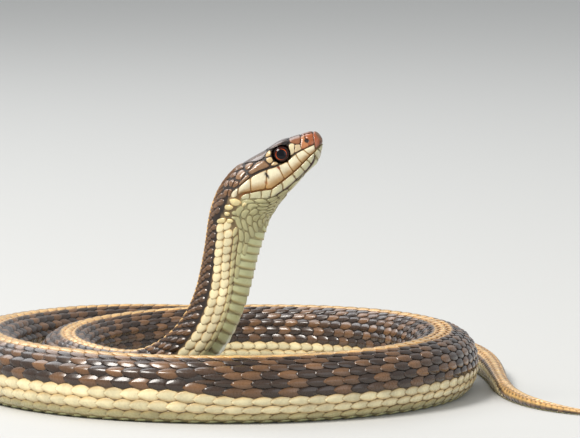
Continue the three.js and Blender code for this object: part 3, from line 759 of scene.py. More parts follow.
# A face lies in one strip of the map, and one that crosses the belly's middle keeps to one side
def skin_uvs(mesh):
    corners = corner_points(mesh)
    sizes = np.array([p.loop_total for p in mesh.polygons])
    starts = np.cumsum(sizes) - sizes
    lengths = np.minimum(skin_along[corners], TOTAL_LENGTH - 0.1)
    middle = np.repeat(np.add.reduceat(lengths, starts) / sizes, sizes)
    turn = skin_turn[corners]
    lead = turn[np.repeat(starts, sizes)]
    side = np.sign(lead + 1e-9)
    wraps = (np.abs(turn) > 0.7) & (np.abs(lead) > 0.7) & (np.sign(turn) != side)
    turn = np.clip(np.where(wraps, side, turn), -1, 0.999999)
    uv_layer(mesh, unwrap(skin_along[corners], turn, strip_of=middle))


skin = new_mesh("skin", skin_points, skin_faces, skin_finish, skin_colours)
skin_uvs(skin.data)
print("skin faces", len(skin.data.polygons))

# %% [markdown]
# ## Plates of the head
# A few large plates cover a garter snake's head, always in the same order: the rostral at the
# tip, nasals, internasals and prefrontals, one frontal, the brow plates and the parietals on
# top, and the lip plates along the mouth. Each is a thin crowned shell with a rounded rim,
# and dark skin shows in the seams. They could be carved from one dense mesh, but separate
# shells keep every seam crisp. Each outline is given on the skin as lengths and lines.

# %% Seams of the lip plates
CHIN_LIP, CHIN_MIDDLE = 3.035, 4.94
# Each seam of the upper lip from its top to the lip, and of the lower lip from the lip down
UPPER_SEAMS = [
    [[1.7, 2.03], [1.78, 2.35], [1.95, 2.965]], [[4.1, 2.05], [3.9, 2.36], [3.55, 2.965]],
    [[5.8, 2.08], [5.87, 2.44], [5.7, 2.965]], [[7.95, 2.15], [8.05, 2.52], [8.0, 2.965]],
    [[9.9, 2.06], [10.06, 2.5], [10.27, 2.965]], [[12.05, 2.03], [13.0, 2.4], [14.6, 2.965]],
    [[15.6, 2.08], [16.38, 2.49], [17.25, 2.965]], [[18.35, 2.08], [18.8, 2.39], [19.45, 2.85]],
]
LOWER_SEAMS = [
    [[2.7, 3.035], [2.9, 3.6], [3.3, 4.09]], [[4.6, 3.035], [4.42, 3.5], [4.5, 4.02]],
    [[6.35, 3.035], [6.25, 3.5], [6.2, 3.95]], [[8.4, 3.035], [8.4, 3.5], [8.45, 3.86]],
    [[11.15, 3.035], [11.3, 3.32], [11.9, 3.84]], [[13.4, 3.035], [14.0, 3.32], [14.8, 3.74]],
    [[15.45, 3.035], [16.0, 3.33], [16.65, 3.55]], [[17.75, 3.05], [18.1, 3.22], [18.75, 3.36]],
    [[19.6, 3.05], [19.75, 3.1], [19.75, 3.2]],
]

# %% Outlines of the other plates of one side
SIDE_ROWS = {
    "internasal": [[[0.85, 0.03], [0.95, 0.6]], [[2, 0.03], [2.2, 0.5]], [[3.2, 0.03], [3.15, 0.62]]],
    "prefrontal": [[[3.3, 0.03], [3.27, 0.66]], [[4.3, 0.03], [3.95, 1.42]], [[5, 0.03], [4.88, 1.3]],
                   [[5.6, 0.03], [5.45, 1.05]]],
    "supraocular": [[[5.68, 0.52], [5.62, 1.08]], [[6.5, 0.5], [6.4, 1.25]], [[7.6, 0.47], [7.6, 1.17]],
                    [[9, 0.4], [9, 1.03]], [[10.3, 0.36], [9.85, 0.86]]],
    "parietal": [[[10.5, 0.38], [10.3, 0.82]], [[11.2, 0.03], [11.3, 1.05]], [[13, 0.03], [13, 1.04]],
                 [[14.4, 0.03], [14.3, 0.7]], [[15.7, 0.05], [15.5, 0.4]]],
    "front_chin_shield": [[[3.1, 4.2], [3.1, 4.94]], [[5.1, 4.12], [5.1, 4.94]], [[7, 4.18], [7.2, 4.94]]],
    "rear_chin_shield": [[[7.1, 4.14], [7.5, 4.9]], [[9.3, 4.1], [9.3, 4.82]], [[11.8, 4.3], [11.8, 4.7]]],
}
SIDE_LOOPS = {
    "front_nasal": [[0.95, 0.66], [1.1, 1.15], [1.4, 1.6], [1.72, 1.95], [2.74, 1.95], [2.66, 1.45],
                    [2.55, 0.95], [2.35, 0.56], [1.6, 0.62]],
    "rear_nasal": [[2.42, 0.57], [3.25, 0.69], [3.55, 1.12], [3.97, 1.52], [4.3, 1.95], [2.8, 1.95],
                   [2.72, 1.45], [2.62, 0.95]],
    "loreal": [[4.03, 1.5], [4.88, 1.38], [5.3, 1.65], [5.82, 1.96], [4.38, 1.95], [4.2, 1.72]],
    "preocular": [[4.95, 1.33], [5.35, 1.16], [5.9, 1.3], [6.2, 1.5], [6.5, 1.75], [6.8, 1.96],
                  [5.92, 1.96], [5.37, 1.66]],
    "upper_postocular": [[9.6, 1.0], [9.95, 0.9], [10.62, 0.86], [11.05, 1.09], [10.8, 1.2], [10.13, 1.29],
                         [9.67, 1.22]],
    "middle_postocular": [[10.7, 1.27], [10.07, 1.4], [10.1, 1.62], [10.52, 1.7], [11.03, 1.7],
                          [11.3, 1.48], [11.2, 1.3]],
    "lower_postocular": [[10.15, 1.72], [9.75, 1.83], [9.6, 1.94], [9.98, 1.98], [10.98, 1.87],
                         [10.7, 1.75]],
    "front_temporal": [[13, 1.13], [12.4, 1.15], [11.55, 1.32], [11.4, 1.5], [11.2, 1.8], [11.4, 1.88],
                       [12.05, 1.92], [13.25, 1.92], [14.5, 1.93], [15.2, 1.92], [15.4, 1.72],
                       [15.35, 1.57], [14.6, 1.48], [13.75, 1.28]],
    "upper_temporal": [[15.1, 0.74], [14.5, 0.75], [13.78, 0.95], [13.8, 1.1], [14.55, 1.37], [15.3, 1.38],
                       [15.5, 1.08], [15.35, 0.82]],
    "low_temporal": [[15.55, 1.76], [15.45, 1.93], [15.75, 2.0], [16.8, 2.02], [17.8, 1.98], [18.05, 1.93],
                     [17.7, 1.82], [16.7, 1.76], [15.95, 1.71]],
    "rear_temporal": [[16, 0.95], [15.7, 1.3], [15.72, 1.5], [16.6, 1.66], [17.2, 1.68], [17.66, 1.38],
                      [17.66, 1.2], [17.3, 1.0], [16.6, 0.87]],
    "nape_1": [[16.29, 0.27], [15.7, 0.48], [15.6, 0.84], [15.97, 0.84], [16.59, 0.68], [16.8, 0.52]],
    "nape_2": [[17.26, 0.55], [17, 0.8], [17.34, 0.94], [17.8, 0.93], [18.29, 0.68], [18.3, 0.46],
               [17.86, 0.37]],
    "nape_3": [[18, 1.34], [17.55, 1.63], [17.75, 1.8], [18.2, 1.88], [18.9, 1.72], [19, 1.52],
               [18.5, 1.42]],
    "nape_4": [[18.6, 0.8], [18.0, 1.1], [18.0, 1.27], [18.53, 1.38], [19.09, 1.43], [19.23, 1.22],
               [19, 0.88]],
    "nape_5": [[19.11, 0.36], [18.7, 0.67], [19, 0.86], [19.5, 0.98], [19.84, 0.75], [19.68, 0.42]],
    "nape_6": [[19.3, 1.56], [19.35, 1.7], [20.0, 1.74], [20.61, 1.73], [20.6, 1.54], [20.04, 1.4],
               [19.51, 1.37]],
    "nape_7": [[20, 0.97], [19.65, 1.3], [20.2, 1.4], [20.7, 1.42], [20.96, 1.18], [20.5, 0.94]],
    "upper_labial_8": [[18.5, 2.05], [19.07, 1.88], [19.7, 1.77], [20.15, 1.8], [20.45, 2.0], [19.95, 2.58],
                       [19.55, 2.75], [19.0, 2.42]],
    "jaw_scale_1": [[20.8, 1.82], [20.35, 2.3], [20.15, 2.8], [20.2, 3.12], [20.65, 3.1], [21.31, 2.8],
                    [21.71, 2.17], [21.5, 1.9], [21.12, 1.74]],
    "jaw_scale_2": [[20.23, 3.2], [19.75, 3.32], [19.92, 3.4], [20.86, 3.26], [21.07, 3.12]],
    "jaw_scale_3": [[22.18, 1.5], [21.75, 1.87], [21.85, 2.2], [22.41, 2.04], [22.89, 1.74], [22.84, 1.52]],
    "jaw_scale_4": [[23.48, 1.52], [23.13, 1.72], [23.29, 1.88], [23.83, 1.8], [24.02, 1.6]],
    "jaw_scale_5": [[25.1, 1.2], [24.5, 1.45], [24.45, 1.66], [25.22, 1.65], [25.8, 1.36], [25.68, 1.2]],
    "jaw_scale_6": [[24.45, 1.74], [24.25, 2.0], [24.62, 2.13], [25.19, 1.92], [25.19, 1.72]],
    "side_throat_1": [[22.95, 1.98], [22.5, 2.2], [22.45, 2.42], [22.85, 2.5], [23.35, 2.3], [23.4, 2.03]],
    "side_throat_2": [[23.85, 1.95], [23.6, 2.15], [23.6, 2.42], [24.05, 2.45], [24.35, 2.25], [24.2, 2.02]],
}
MIDDLE_ROWS = {
    "frontal": [[[5.75, -0.5], [5.75, 0.5]], [[7.5, -0.43], [7.5, 0.43]], [[9.7, -0.33], [9.7, 0.33]],
                [[10.9, -0.06], [10.9, 0.06]]],
}
# Round the tip of the snout a length is given as its square root
TIP_ROWS = {
    "rostral": [[[0.1, 2.9], [1.36, 2.9]], [[0.1, 2], [1.27, 1.96]], [[0.1, 1], [0.97, 1]],
                [[0.1, 0], [0.85, 0]], [[0.1, -1], [0.97, -1]], [[0.1, -2], [1.27, -1.96]],
                [[0.1, -2.9], [1.36, -2.9]]],
    "mental": [[[0.8, 6.82], [1.06, 6.86]], [[0.65, 6], [1.15, 6]], [[0.55, 5], [1.2, 5]],
               [[0.65, 4], [1.15, 4]], [[0.8, 3.18], [1.06, 3.14]]],
}


# %% Smooth outlines
def curve_through(ends, count):
    ends = np.array(ends, float)
    padded = np.vstack([2 * ends[0] - ends[1], ends, 2 * ends[-1] - ends[-2]])
    at = np.linspace(0, len(ends) - 1.0001, count)
    return rounded_path(padded, at)


def rounded_path(padded, at):
    k = at.astype(int)
    return curve_between(*[padded[k + n] for n in range(4)], (at - k)[:, None])


def four_sided(first, second, fineness=1):
    inner, outer = curve_through(first, 14 * fineness), curve_through(second, 14 * fineness)
    rear = curve_through([inner[-1], outer[-1]], 9 * fineness)
    front = curve_through([outer[0], inner[0]], 9 * fineness)
    loop = np.vstack([inner[:-1], rear[:-1], outer[::-1][:-1], front[:-1]])
    for _ in range(2 * fineness):
        loop = 0.5 * loop + 0.25 * (np.roll(loop, 1, axis=0) + np.roll(loop, -1, axis=0))
    return loop


def round_loop(points, count=44):
    points = np.array(points, float)
    padded = np.vstack([points[-1:], points, points[:2]])
    return rounded_path(padded, np.linspace(0, len(points), count, endpoint=False))


def by_rows(rows):
    return four_sided([a for a, _ in rows], [b for _, b in rows])


def one_way_round(loop):
    x, y = loop.T
    area = np.sum(x * np.roll(y, -1) - np.roll(x, -1) * y)
    return loop if area > 0 else loop[::-1]


def lip_plates():
    plates = {}
    for kind, seams in (("upper_labial", UPPER_SEAMS), ("lower_labial", LOWER_SEAMS)):
        for k, (seam, following) in enumerate(zip(seams, seams[1:])):
            plates[f"{kind}_{k + 1}"] = four_sided(seam, following)
    first = [[[1.25, CHIN_LIP], [1.5, CHIN_MIDDLE]], [[2.6, CHIN_LIP], [3.1, CHIN_MIDDLE]]]
    plates["lower_labial_0"] = by_rows(first)
    return plates


def all_plates():
    right = lip_plates()
    right.update({name: by_rows(rows) for name, rows in SIDE_ROWS.items()})
    fine = {name: 88 if "nasal" in name else 44 for name in SIDE_LOOPS}
    right.update({name: round_loop(loop, fine[name]) for name, loop in SIDE_LOOPS.items()})
    plates = []
    for name, loop in right.items():
        plates.append((name, loop, 1))
        plates.append((name, loop * [1, -1], 1))
    plates += [(name, by_rows(rows), 1) for name, rows in MIDDLE_ROWS.items()]
    plates += [(name, by_rows(rows), 2) for name, rows in TIP_ROWS.items()]
    return [(name, one_way_round(loop), power) for name, loop, power in plates]


# %% Crowned shells
PLATE_RIM = [0.0, 0.012, 0.035, 0.07, 0.12, 0.2]
PLATE_GROOVE = 0.035
PLATE_BEVEL = 0.16
PLATE_ROOT = 0.12
PLATE_HIGHEST = 0.3
FLAT_CROWN = 0.06
PLATE_CROWN = {"upper_labial": 0.2, "lower_labial": 0.14, "temporal": 0.16, "postocular": 0.14,
               "rostral": 0.1, "mental": 0.08, "nasal": 0.08, "chin": 0.1, "throat": 0.12,
               "jaw_scale": 0.26, "nape": 0.2}
NOSTRIL = {"along": 2.64, "line": 1.42, "radius": 0.44, "depth": 0.55}


def crown_of(name):
    return next((height for key, height in PLATE_CROWN.items() if key in name), FLAT_CROWN)


def plate_shell(name, loop, power):
    fineness = 3 if power == 2 else 2 if len(loop) > 60 else 1
    centre = loop.mean(axis=0)

    def on_skin(flat):
        return skin_at(flat[:, 0] ** power, flat[:, 1])

    reach = np.linalg.norm(on_skin(loop) - on_skin(centre[None]), axis=1)
    rim = [1 - (PLATE_GROOVE + step) / reach for step in PLATE_RIM]
    inner = [np.minimum(rim[-1], 1) * share for share in np.linspace(0.9, 0.1, 5 * fineness)]
    shares = np.array([rim[0]] + rim + inner)
    flat = centre + (loop - centre) * shares[..., None]
    edge = np.clip((1 - shares) * reach - PLATE_GROOVE, 0, None)
    round_rim = np.sqrt(np.clip(1 - (1 - np.clip(edge / PLATE_BEVEL, 0, 1)) ** 2, 0, 1))
    height = -COAT_DEPTH * (1 - round_rim) + crown_of(name) * (1 - shares**2)
    height = np.minimum(height, PLATE_HIGHEST)
    height[0] = -COAT_DEPTH - PLATE_ROOT
    flat = np.vstack([flat.reshape(-1, 2), centre, centre])
    height = np.concatenate([height.ravel(), [crown_of(name), -COAT_DEPTH - PLATE_ROOT]])
    along, line = flat[:, 0] ** power, flat[:, 1]
    points = skin_at(along, line) + skin_out(along, line) * height[:, None]
    grid, turned, faces = ring_faces(*shares.shape)
    faces += fan(grid.size, turned[-1], grid[-1]) + fan(grid.size + 1, grid[0], turned[0])
    share = np.concatenate([shares.ravel(), [0, 1]])
    return points, faces, along, line, share


# %% [markdown]
# ### The colours of each plate
# The crown is a dark grey brown, the nose is orange, the lips are cream with ochre lower
# edges, partly their own golden tone and partly painted shade, and a black line parts them
# from the brown plates of the temple. The lower lip plates are a darker, greener cream, as
# painted shade under the lip. Every plate has its own ground colour and its own edge colour,
# and a few small marks are laid over them, among them painted shade in the nostrils and in
# the pocket before the eye.

# %% Paint for the plates
PLATE_PAINT = {
    "rostral": [tone(150, 92, 56), tone(104, 66, 44)],
    "internasal": [tone(122, 76, 50), tone(74, 48, 34)],
    "prefrontal": [tone(104, 72, 52), tone(52, 34, 26)],
    "front_nasal": [tone(158, 86, 44), tone(112, 56, 28)],
    "rear_nasal": [tone(178, 116, 72), tone(128, 70, 36)],
    "loreal": [tone(206, 184, 146), tone(150, 98, 58)],
    "preocular": [tone(218, 202, 162), tone(150, 106, 64)],
    "supraocular": [tone(78, 56, 44), tone(26, 18, 15)],
    "frontal": [tone(92, 72, 60), tone(36, 26, 22)],
    "parietal": [tone(96, 74, 58), tone(36, 26, 21)],
    "postocular": [tone(206, 178, 130), tone(140, 92, 50)],
    "temporal": [tone(140, 106, 74), tone(82, 52, 30)],
    "nape": [tone(118, 84, 54), tone(56, 36, 22)],
    "jaw_scale": [tone(226, 208, 152), tone(200, 156, 88)],
    "upper_labial": [tone(224, 214, 182), tone(196, 160, 104)],
    # Lower lip plates: a pale greenish cream, painted darker than the upper lip plates as shade under the
    # lip.
    "lower_labial": [tone(196, 190, 152), tone(150, 118, 72)],
    "chin": [tone(184, 180, 130), tone(130, 118, 72)],
    "mental": [tone(178, 172, 124), tone(130, 112, 72)],
    "throat": [tone(180, 174, 128), tone(112, 90, 50)],
}
HEAD_MARKS = [
    # length, line, reach along, reach across, colour, strength
    [10.0, 2.17, 0.3, 0.15, tone(160, 62, 26), 0.95],
    [12.7, 2.32, 0.28, 0.2, tone(30, 12, 8), 1.0],
    [13.6, 2.6, 0.3, 0.1, tone(150, 84, 36), 0.8],
    [7.9, 2.16, 0.22, 0.09, tone(70, 34, 20), 0.9],
    [8.4, 3.35, 0.24, 0.12, tone(66, 34, 22), 0.85],
    [14.9, 3.66, 0.3, 0.12, tone(80, 56, 34), 0.7],
    [0.35, 2.2, 0.3, 0.6, tone(70, 50, 38), 0.8],
    [0.2, 0.6, 0.55, 1.2, tone(108, 84, 66), 0.75],
    # Near black in the nostril: painted shade in its pit.
    [NOSTRIL["along"], NOSTRIL["line"], 0.5, 0.24, tone(26, 12, 8), 1.0],
    # Near black in the pocket between the brow and the preocular plate: painted shade.
    [6.3, 1.1, 0.9, 0.22, tone(26, 17, 13), 0.95],
]


def plate_paint(name, along, line, share):
    ground, edge = next(pair for key, pair in PLATE_PAINT.items() if key in name)
    colour = mix(np.broadcast_to(ground, (len(along), 3)), edge, passed(share, 0.78, 1))
    at = np.abs(line)
    if name in ("internasal", "prefrontal"):
        colour = mix(colour, NOSE_BROWN, 0.85 * passed(at, 0.45, 0.85))
    if name == "rostral":
        side = band(at, 0.2, 2.3, 0.4)
        colour = mix(colour, NOSE_ORANGE, 0.8 * passed(along, 0.4, 0.8) * side)
        crease = passed(share, 0.86, 0.94) * passed(along, 0.5, 0.8) * band(at, 0.4, 1.9, 0.3)
        colour = mix(colour, NOSE_PALE, 0.9 * crease)
    # The lower part of an upper lip plate turns ochre: partly its own golden tone, partly painted shade
    # where the lip curves in.
    if "upper_labial" in name:
        low = passed(at, 2.36, 2.86)
        colour = mix(colour, LABIAL_OCHRE_SHADE, 0.9 * low)
    if "lower_labial" in name or "chin" in name:
        edge_line = through(CHIN_EDGE, along)
        dark = band(at, edge_line - 0.2, edge_line + 0.24, 0.08) * band(along, 3.4, 13.5, 1)
        colour = mix(colour, JAW_DARK, dark)
    for length, mark_line, reach, spread, shade, strength in HEAD_MARKS:
        gap = np.hypot((along - length) / reach, (at - mark_line) / spread)
        colour = mix(colour, shade, strength * (1 - passed(gap, 0.6, 1.1)))
    return colour


# %% All plates in one piece
def opened(points):
    points = points.copy()
    for side in (-1, 1):
        seen, (along_eye, upright, _) = eye_view(points, side)
        radius = np.maximum(np.hypot(seen[..., 0], seen[..., 1]), 1e-6)
        near = (radius < SOCKET_RADIUS) & (seen[..., 2] > -SOCKET_DEPTH)
        wide = SOCKET_RADIUS - 0.12 * (SOCKET_RADIUS - radius)
        push = (wide - radius) / radius
        move = (seen[..., :1] * along_eye + seen[..., 1:2] * upright) * push[..., None]
        points[near] += move[near]
    return points


def pitted(points):
    points = points.copy()
    for side in (-1, 1):
        at = np.array([NOSTRIL["along"]]), np.array([side * NOSTRIL["line"]])
        place, out = skin_at(*at)[0], skin_out(*at)[0]
        gap = points - place
        flat = gap - (gap @ out)[:, None] * out
        radius = np.linalg.norm(flat, axis=1) / NOSTRIL["radius"]
        depth = NOSTRIL["depth"] * (1 - passed(radius, 0.45, 1.05))
        near = np.linalg.norm(gap, axis=1) < 1.2
        points[near] -= out * depth[near][:, None]
    return points


def joined_plates(name, plates, finish):
    points, faces, colours, uvs = [], [], [], []
    start = 0
    for kind, loop, power in plates:
        shell, flat_faces, along, line, share = plate_shell(kind, loop, power)
        points.append(pitted(opened(shell)))
        faces += [[k + start for k in face] for face in flat_faces]
        colours.append(plate_paint(kind, along, line, share))
        uvs.append(unwrap(along, turn_at(along, line)))
        start += len(shell)
    piece = new_mesh(name, np.vstack(points), faces, finish, np.vstack(colours), np.vstack(uvs))
    print(name, len(plates), "faces", len(piece.data.polygons))
    return piece


head_plates = joined_plates("head_plates", all_plates(), plate_finish)

# %% [markdown]
# ## Scales of the body
# More than three thousand small scales lie in nineteen rows, each row shifted by half a scale
# from the next, like tiles on a roof. They are laid out flat first, as on a shed skin spread
# on a table: a point for each scale, with its size, its turn and its place. Geometry Nodes
# sets one scale on every point and turns them into real mesh, and then the flat sheet is
# wrapped round the body with the same function that shapes the skin.


# %% One scale, made flat: one long, one wide, one high
SCALE_ROOT = [0.35, 0, -0.9]


def scale_model(name, points, faces, local):
    mesh = raw_mesh(name, points, faces)
    vectors_layer(mesh, "patch", local)
    return bpy.data.objects.new(name, mesh)


def scale_mesh(name, columns, rows, keel, blunt):
    across = np.array(columns)
    lengths = np.linspace(0, 1, rows)
    outline = np.sin(np.pi * lengths ** 0.85) ** blunt
    outline[0], outline[-1] = 0.22, 0.16
    points = []
    for x, half in zip(lengths, outline):
        for y in across:
            dome = (1 - abs(y) ** 2.6) * math.sin(math.pi * min(0.12 + 0.76 * x, 1)) ** 0.7
            ridge = keel * (1 if y == 0 else 0) * math.sin(math.pi * min(0.08 + 0.84 * x, 1))
            points.append([x, 0.5 * y * half, -0.4 + 0.75 * x + 0.75 * dome + ridge])
    faces, rim = sheet_faces(rows, len(across))
    faces += [[b, a, len(points)] for a, b in rim]
    points.append(SCALE_ROOT)
    local = [[x, 2 * y / max(np.interp(x, lengths, outline), 0.1), z] for x, y, z in points]
    return scale_model(name, points, faces, local)


KEEL_COLUMNS = [-1, -0.88, -0.5, -0.14, 0, 0.14, 0.5, 0.88, 1]
COARSE_COLUMNS = [-1, -0.82, -0.3, 0, 0.3, 0.82, 1]
fine_keeled = scale_mesh("fine_keeled", KEEL_COLUMNS, 11, 0.3, 0.55)
keeled = scale_mesh("keeled", COARSE_COLUMNS, 9, 0.3, 0.55)
fine_smooth = scale_mesh("fine_smooth", [-1, -0.9, -0.6, -0.2, 0.2, 0.6, 0.9, 1], 11, 0, 0.5)
plain = scale_mesh("plain", [-1, -0.85, -0.35, 0.35, 0.85, 1], 9, 0, 0.5)
print("faces of one keeled scale", len(keeled.data.polygons))


# %% A tree that sets a scale on every point
def carpet_tree():
    tree = bpy.data.node_groups.new("scale_carpet", "GeometryNodeTree")
    sockets = {}
    for name, kind, value in [
        ("Geometry", "NodeSocketGeometry", None), ("Scale", "NodeSocketObject", None),
        ("Overlap", "NodeSocketFloat", 1.3), ("Breadth", "NodeSocketFloat", 1.1),
        ("Variation", "NodeSocketFloat", 0.08), ("Seed", "NodeSocketInt", 7),
        ("Finish", "NodeSocketMaterial", None),
    ]:
        socket = tree.interface.new_socket(name=name, in_out="INPUT", socket_type=kind)
        if value is not None:
            socket.default_value = value
        sockets[name] = socket.identifier
    tree.interface.new_socket(name="Geometry", in_out="OUTPUT", socket_type="NodeSocketGeometry")
    nodes, links = tree.nodes, tree.links

    def vector_named(name):
        node = nodes.new("GeometryNodeInputNamedAttribute")
        node.data_type = "FLOAT_VECTOR"
        node.inputs["Name"].default_value = name
        return node.outputs["Attribute"]

    def doing(kind, operation):
        node = nodes.new(kind)
        node.operation = operation
        return node

    given = nodes.new("NodeGroupInput").outputs
    made = nodes.new("NodeGroupOutput").inputs
    model = nodes.new("GeometryNodeObjectInfo")
    stretch = nodes.new("ShaderNodeCombineXYZ")
    stretch.inputs["Z"].default_value = 1
    sized = doing("ShaderNodeVectorMath", "MULTIPLY")
    chance = nodes.new("FunctionNodeRandomValue")
    chance.data_type = "FLOAT"
    spread = doing("ShaderNodeMath", "MULTIPLY_ADD")
    spread.inputs[2].default_value = 1
    varied = doing("ShaderNodeVectorMath", "SCALE")
    setter = nodes.new("GeometryNodeInstanceOnPoints")
    real = nodes.new("GeometryNodeRealizeInstances")
    finish = nodes.new("GeometryNodeSetMaterial")
    for source, target in [
        (given["Scale"], model.inputs["Object"]),
        (given["Overlap"], stretch.inputs["X"]), (given["Breadth"], stretch.inputs["Y"]),
        (vector_named("room"), sized.inputs[0]), (stretch.outputs["Vector"], sized.inputs[1]),
        (given["Seed"], chance.inputs["Seed"]), (chance.outputs[1], spread.inputs[0]),
        (given["Variation"], spread.inputs[1]),
        (sized.outputs["Vector"], varied.inputs[0]), (spread.outputs["Value"], varied.inputs["Scale"]),
        (given["Geometry"], setter.inputs["Points"]), (model.outputs["Geometry"], setter.inputs["Instance"]),
        (varied.outputs["Vector"], setter.inputs["Scale"]),
        (vector_named("twist"), setter.inputs["Rotation"]),
        (setter.outputs["Instances"], real.inputs["Geometry"]),
        (real.outputs["Geometry"], finish.inputs["Geometry"]), (given["Finish"], finish.inputs["Material"]),
        (finish.outputs["Geometry"], made["Geometry"]),
    ]:
        links.new(source, target)
    return tree, sockets


CARPET, CARPET_SOCKETS = carpet_tree()


# %% Laying a carpet and wrapping it round the body
CARPET_WIDTH = 17.0
BAKE_PATCH = 0.003


def lay_carpet(name, scale, spots, overlap, breadth, finish, seed=7, variation=0.08):
    mesh = bpy.data.meshes.new(name + "_points")
    flat_places = [spots["along"], spots["turn"] * CARPET_WIDTH, np.zeros(len(spots["along"]))]
    mesh.from_pydata(np.stack(flat_places, axis=-1).tolist(), [], [])
    for key in ("room", "home", "twist"):
        vectors_layer(mesh, key, spots[key])
    points = placed(name + "_points", mesh)
    modifier = points.modifiers.new("carpet", "NODES")
    modifier.node_group = CARPET
    settings = {"Scale": scale, "Overlap": overlap, "Breadth": breadth, "Variation": variation,
                "Seed": seed, "Finish": finish}
    for key, value in settings.items():
        modifier[CARPET_SOCKETS[key]] = value
    ready = points.evaluated_get(bpy.context.evaluated_depsgraph_get())
    flat = bpy.data.meshes.new_from_object(ready)
    bpy.data.objects.remove(points)
    return flat


def read_vectors(values_of, key):
    values = np.empty(len(values_of) * 3, np.float32)
    values_of.foreach_get(key, values)
    return values.reshape(-1, 3).astype(float)


def wrap_carpet(name, flat, colour_of):
    places = read_vectors(flat.vertices, "co")
    home = read_vectors(flat.attributes["home"].data, "vector")
    patch = read_vectors(flat.attributes["patch"].data, "vector")
    along = np.clip(places[:, 0], 0.5, TOTAL_LENGTH)
    turn = places[:, 1] / CARPET_WIDTH
    line = line_at(along, turn)
    height = places[:, 2] - coat_depth(along)
    points = skin_at(along, line) + skin_out(along, line) * height[:, None]
    points[:, 2] = np.maximum(points[:, 2], 0.0)
    flat.vertices.foreach_set("co", (points * MM).astype(np.float32).ravel())
    paint_layer(flat, colour_of(home, patch, along, turn))
    uv = unwrap(home[:, 0], home[:, 1]) + BAKE_PATCH * (patch[:, :2] * [1, 0.5] - [0.5, 0])
    uv_layer(flat, uv[corner_points(flat)])
    flat.update()
    flat.name = name
    print(name, "triangles", sum(p.loop_total - 2 for p in flat.polygons))
    return placed(name, flat)


# %% [markdown]
# ### Where the scales go
# Nineteen rows lie side by side on the neck and the middle of the body. Towards the tail,
# rows end two by two on each side, as they do on the live animal, and the others widen to
# fill their place. On the head the rows begin behind the plates.

# %% Places of the scales on the back and sides
# The length at which scales begin, for each line round the head, and later for a few rows
START_OF_ROWS = [[0, 15.1], [0.35, 15.4], [0.8, 16.4], [1.0, 17.4], [1.6, 18.6], [1.9, 20.4],
                 [2.1, 21.6], [2.4, 22.5], [5, 24.4]]
FIRST_OF_ROW = {7: 24.2, 8: 24.6, 9: 25.2}
# The turn of a scale towards the belly, in radians, for each length
NAPE_TWIST = [[16, 0.12], [20, 0.42], [26, 0.4], [36, 0.0]]
# Where the neck bends, the dark scales lie end to end in slanting chains: the share of that
NECK_SLANT = [[16, 0.0], [19, 0.3], [22, 1.0], [38, 1.0], [56, 0.0]]
CHAINED_ROWS = [2, 6]
CHAIN_OVERLAP = 1.05
LAST_ROW_TWIST = 0.3
SCALE_THICKNESS = 0.3
SCALE_MIDDLE = 0.6
BARE_TIP = 1.2
NARROWEST = 0.45
CROWN_ROWS = 3
CROWN_MARGIN, SIDE_MARGIN = 1.06, 1.25
PLATE_LOOPS = [loop for name, loop, power in all_plates() if power == 1 and loop[:, 1].mean() > 0]


def covered(along, line, margin):
    inside = np.zeros(len(along), bool)
    for loop in PLATE_LOOPS:
        centre = loop.mean(axis=0)
        x, y = (centre + margin * (loop - centre)).T
        next_x, next_y = np.roll(x, -1), np.roll(y, -1)
        spans = (y[:, None] > line) != (next_y[:, None] > line)
        steps = np.where(np.abs(next_y - y) > 1e-9, next_y - y, 1e-9)
        meets = x[:, None] + (line - y[:, None]) * ((next_x - x) / steps)[:, None]
        inside |= (np.sum(spans & (meets > along), axis=0) % 2) == 1
    return inside


def thickness(along):
    return SCALE_THICKNESS * np.clip(half_girth(along) / 17, 0.25, 1.15)


def chained(row, along, size, breadth, twist):
    if not CHAINED_ROWS[0] <= abs(row) <= CHAINED_ROWS[1]:
        return size, breadth, twist
    slant = through(NECK_SLANT, along)
    step = 0.5 * size
    chain = np.hypot(step, breadth)
    twist = blend(twist, np.arctan2(breadth, step), slant)
    narrow = blend(breadth, size * breadth / chain, slant)
    return blend(size, CHAIN_OVERLAP * chain, slant), narrow, twist


def scales_of_row(row, start, end):
    shift = 0.5 * (row % 2)
    counts = np.arange(math.ceil(scale_count(start) - shift), math.ceil(scale_count(end) - shift))
    along = length_of_count(counts + shift)
    pitch = through(SCALE_PITCH, along)
    side = 1 if row >= 0 else -1
    centres, widths = row_places(along + 0.5 * pitch)
    turn = side * centres[abs(row)] * (row != 0)
    width = widths[abs(row)] * (2 if row == 0 else 1)
    twist = through(NAPE_TWIST, along) * smooth(np.abs(turn) / 0.12)
    if abs(row) == ROWS:
        twist = LAST_ROW_TWIST * twist
    size, breadth, twist = chained(row, along, pitch, width * CARPET_WIDTH, twist)
    middle = along + SCALE_MIDDLE * pitch
    line = np.abs(line_at(middle, turn))
    begins = np.maximum(np.interp(line, *np.array(START_OF_ROWS).T), FIRST_OF_ROW.get(abs(row), 0))
    keep = (along > begins) & (along < TOTAL_LENGTH - BARE_TIP)
    keep &= width > NARROWEST * widths[[1, 8]].min(axis=0)
    keep &= ~covered(middle, line, CROWN_MARGIN if abs(row) <= CROWN_ROWS else SIDE_MARGIN)
    none = 0 * along
    return {"along": along[keep], "turn": turn[keep],
            "room": np.stack([size, breadth, thickness(along)], axis=-1)[keep],
            "home": np.stack([along, turn, none + row], axis=-1)[keep],
            "twist": np.stack([none, none, -side * twist], axis=-1)[keep]}


def dorsal_spots(start, end):
    rows = [scales_of_row(row, start, end) for row in range(-ROWS, ROWS + 1)]
    return {key: np.concatenate([spots[key] for spots in rows]) for key in rows[0]}


# %% Colours of the scales
# A scale takes its colour from the skin this far behind its root
COLOUR_SPOT = 0.4
PALE_LIGHT = 0.25


def scatter(along, turn):
    # A share between 0 and 1 that jumps from scale to scale, and is the same each time
    wave = np.sin(along * 12.9898 + turn * 78.233) * 43758.5453
    return wave - np.floor(wave)


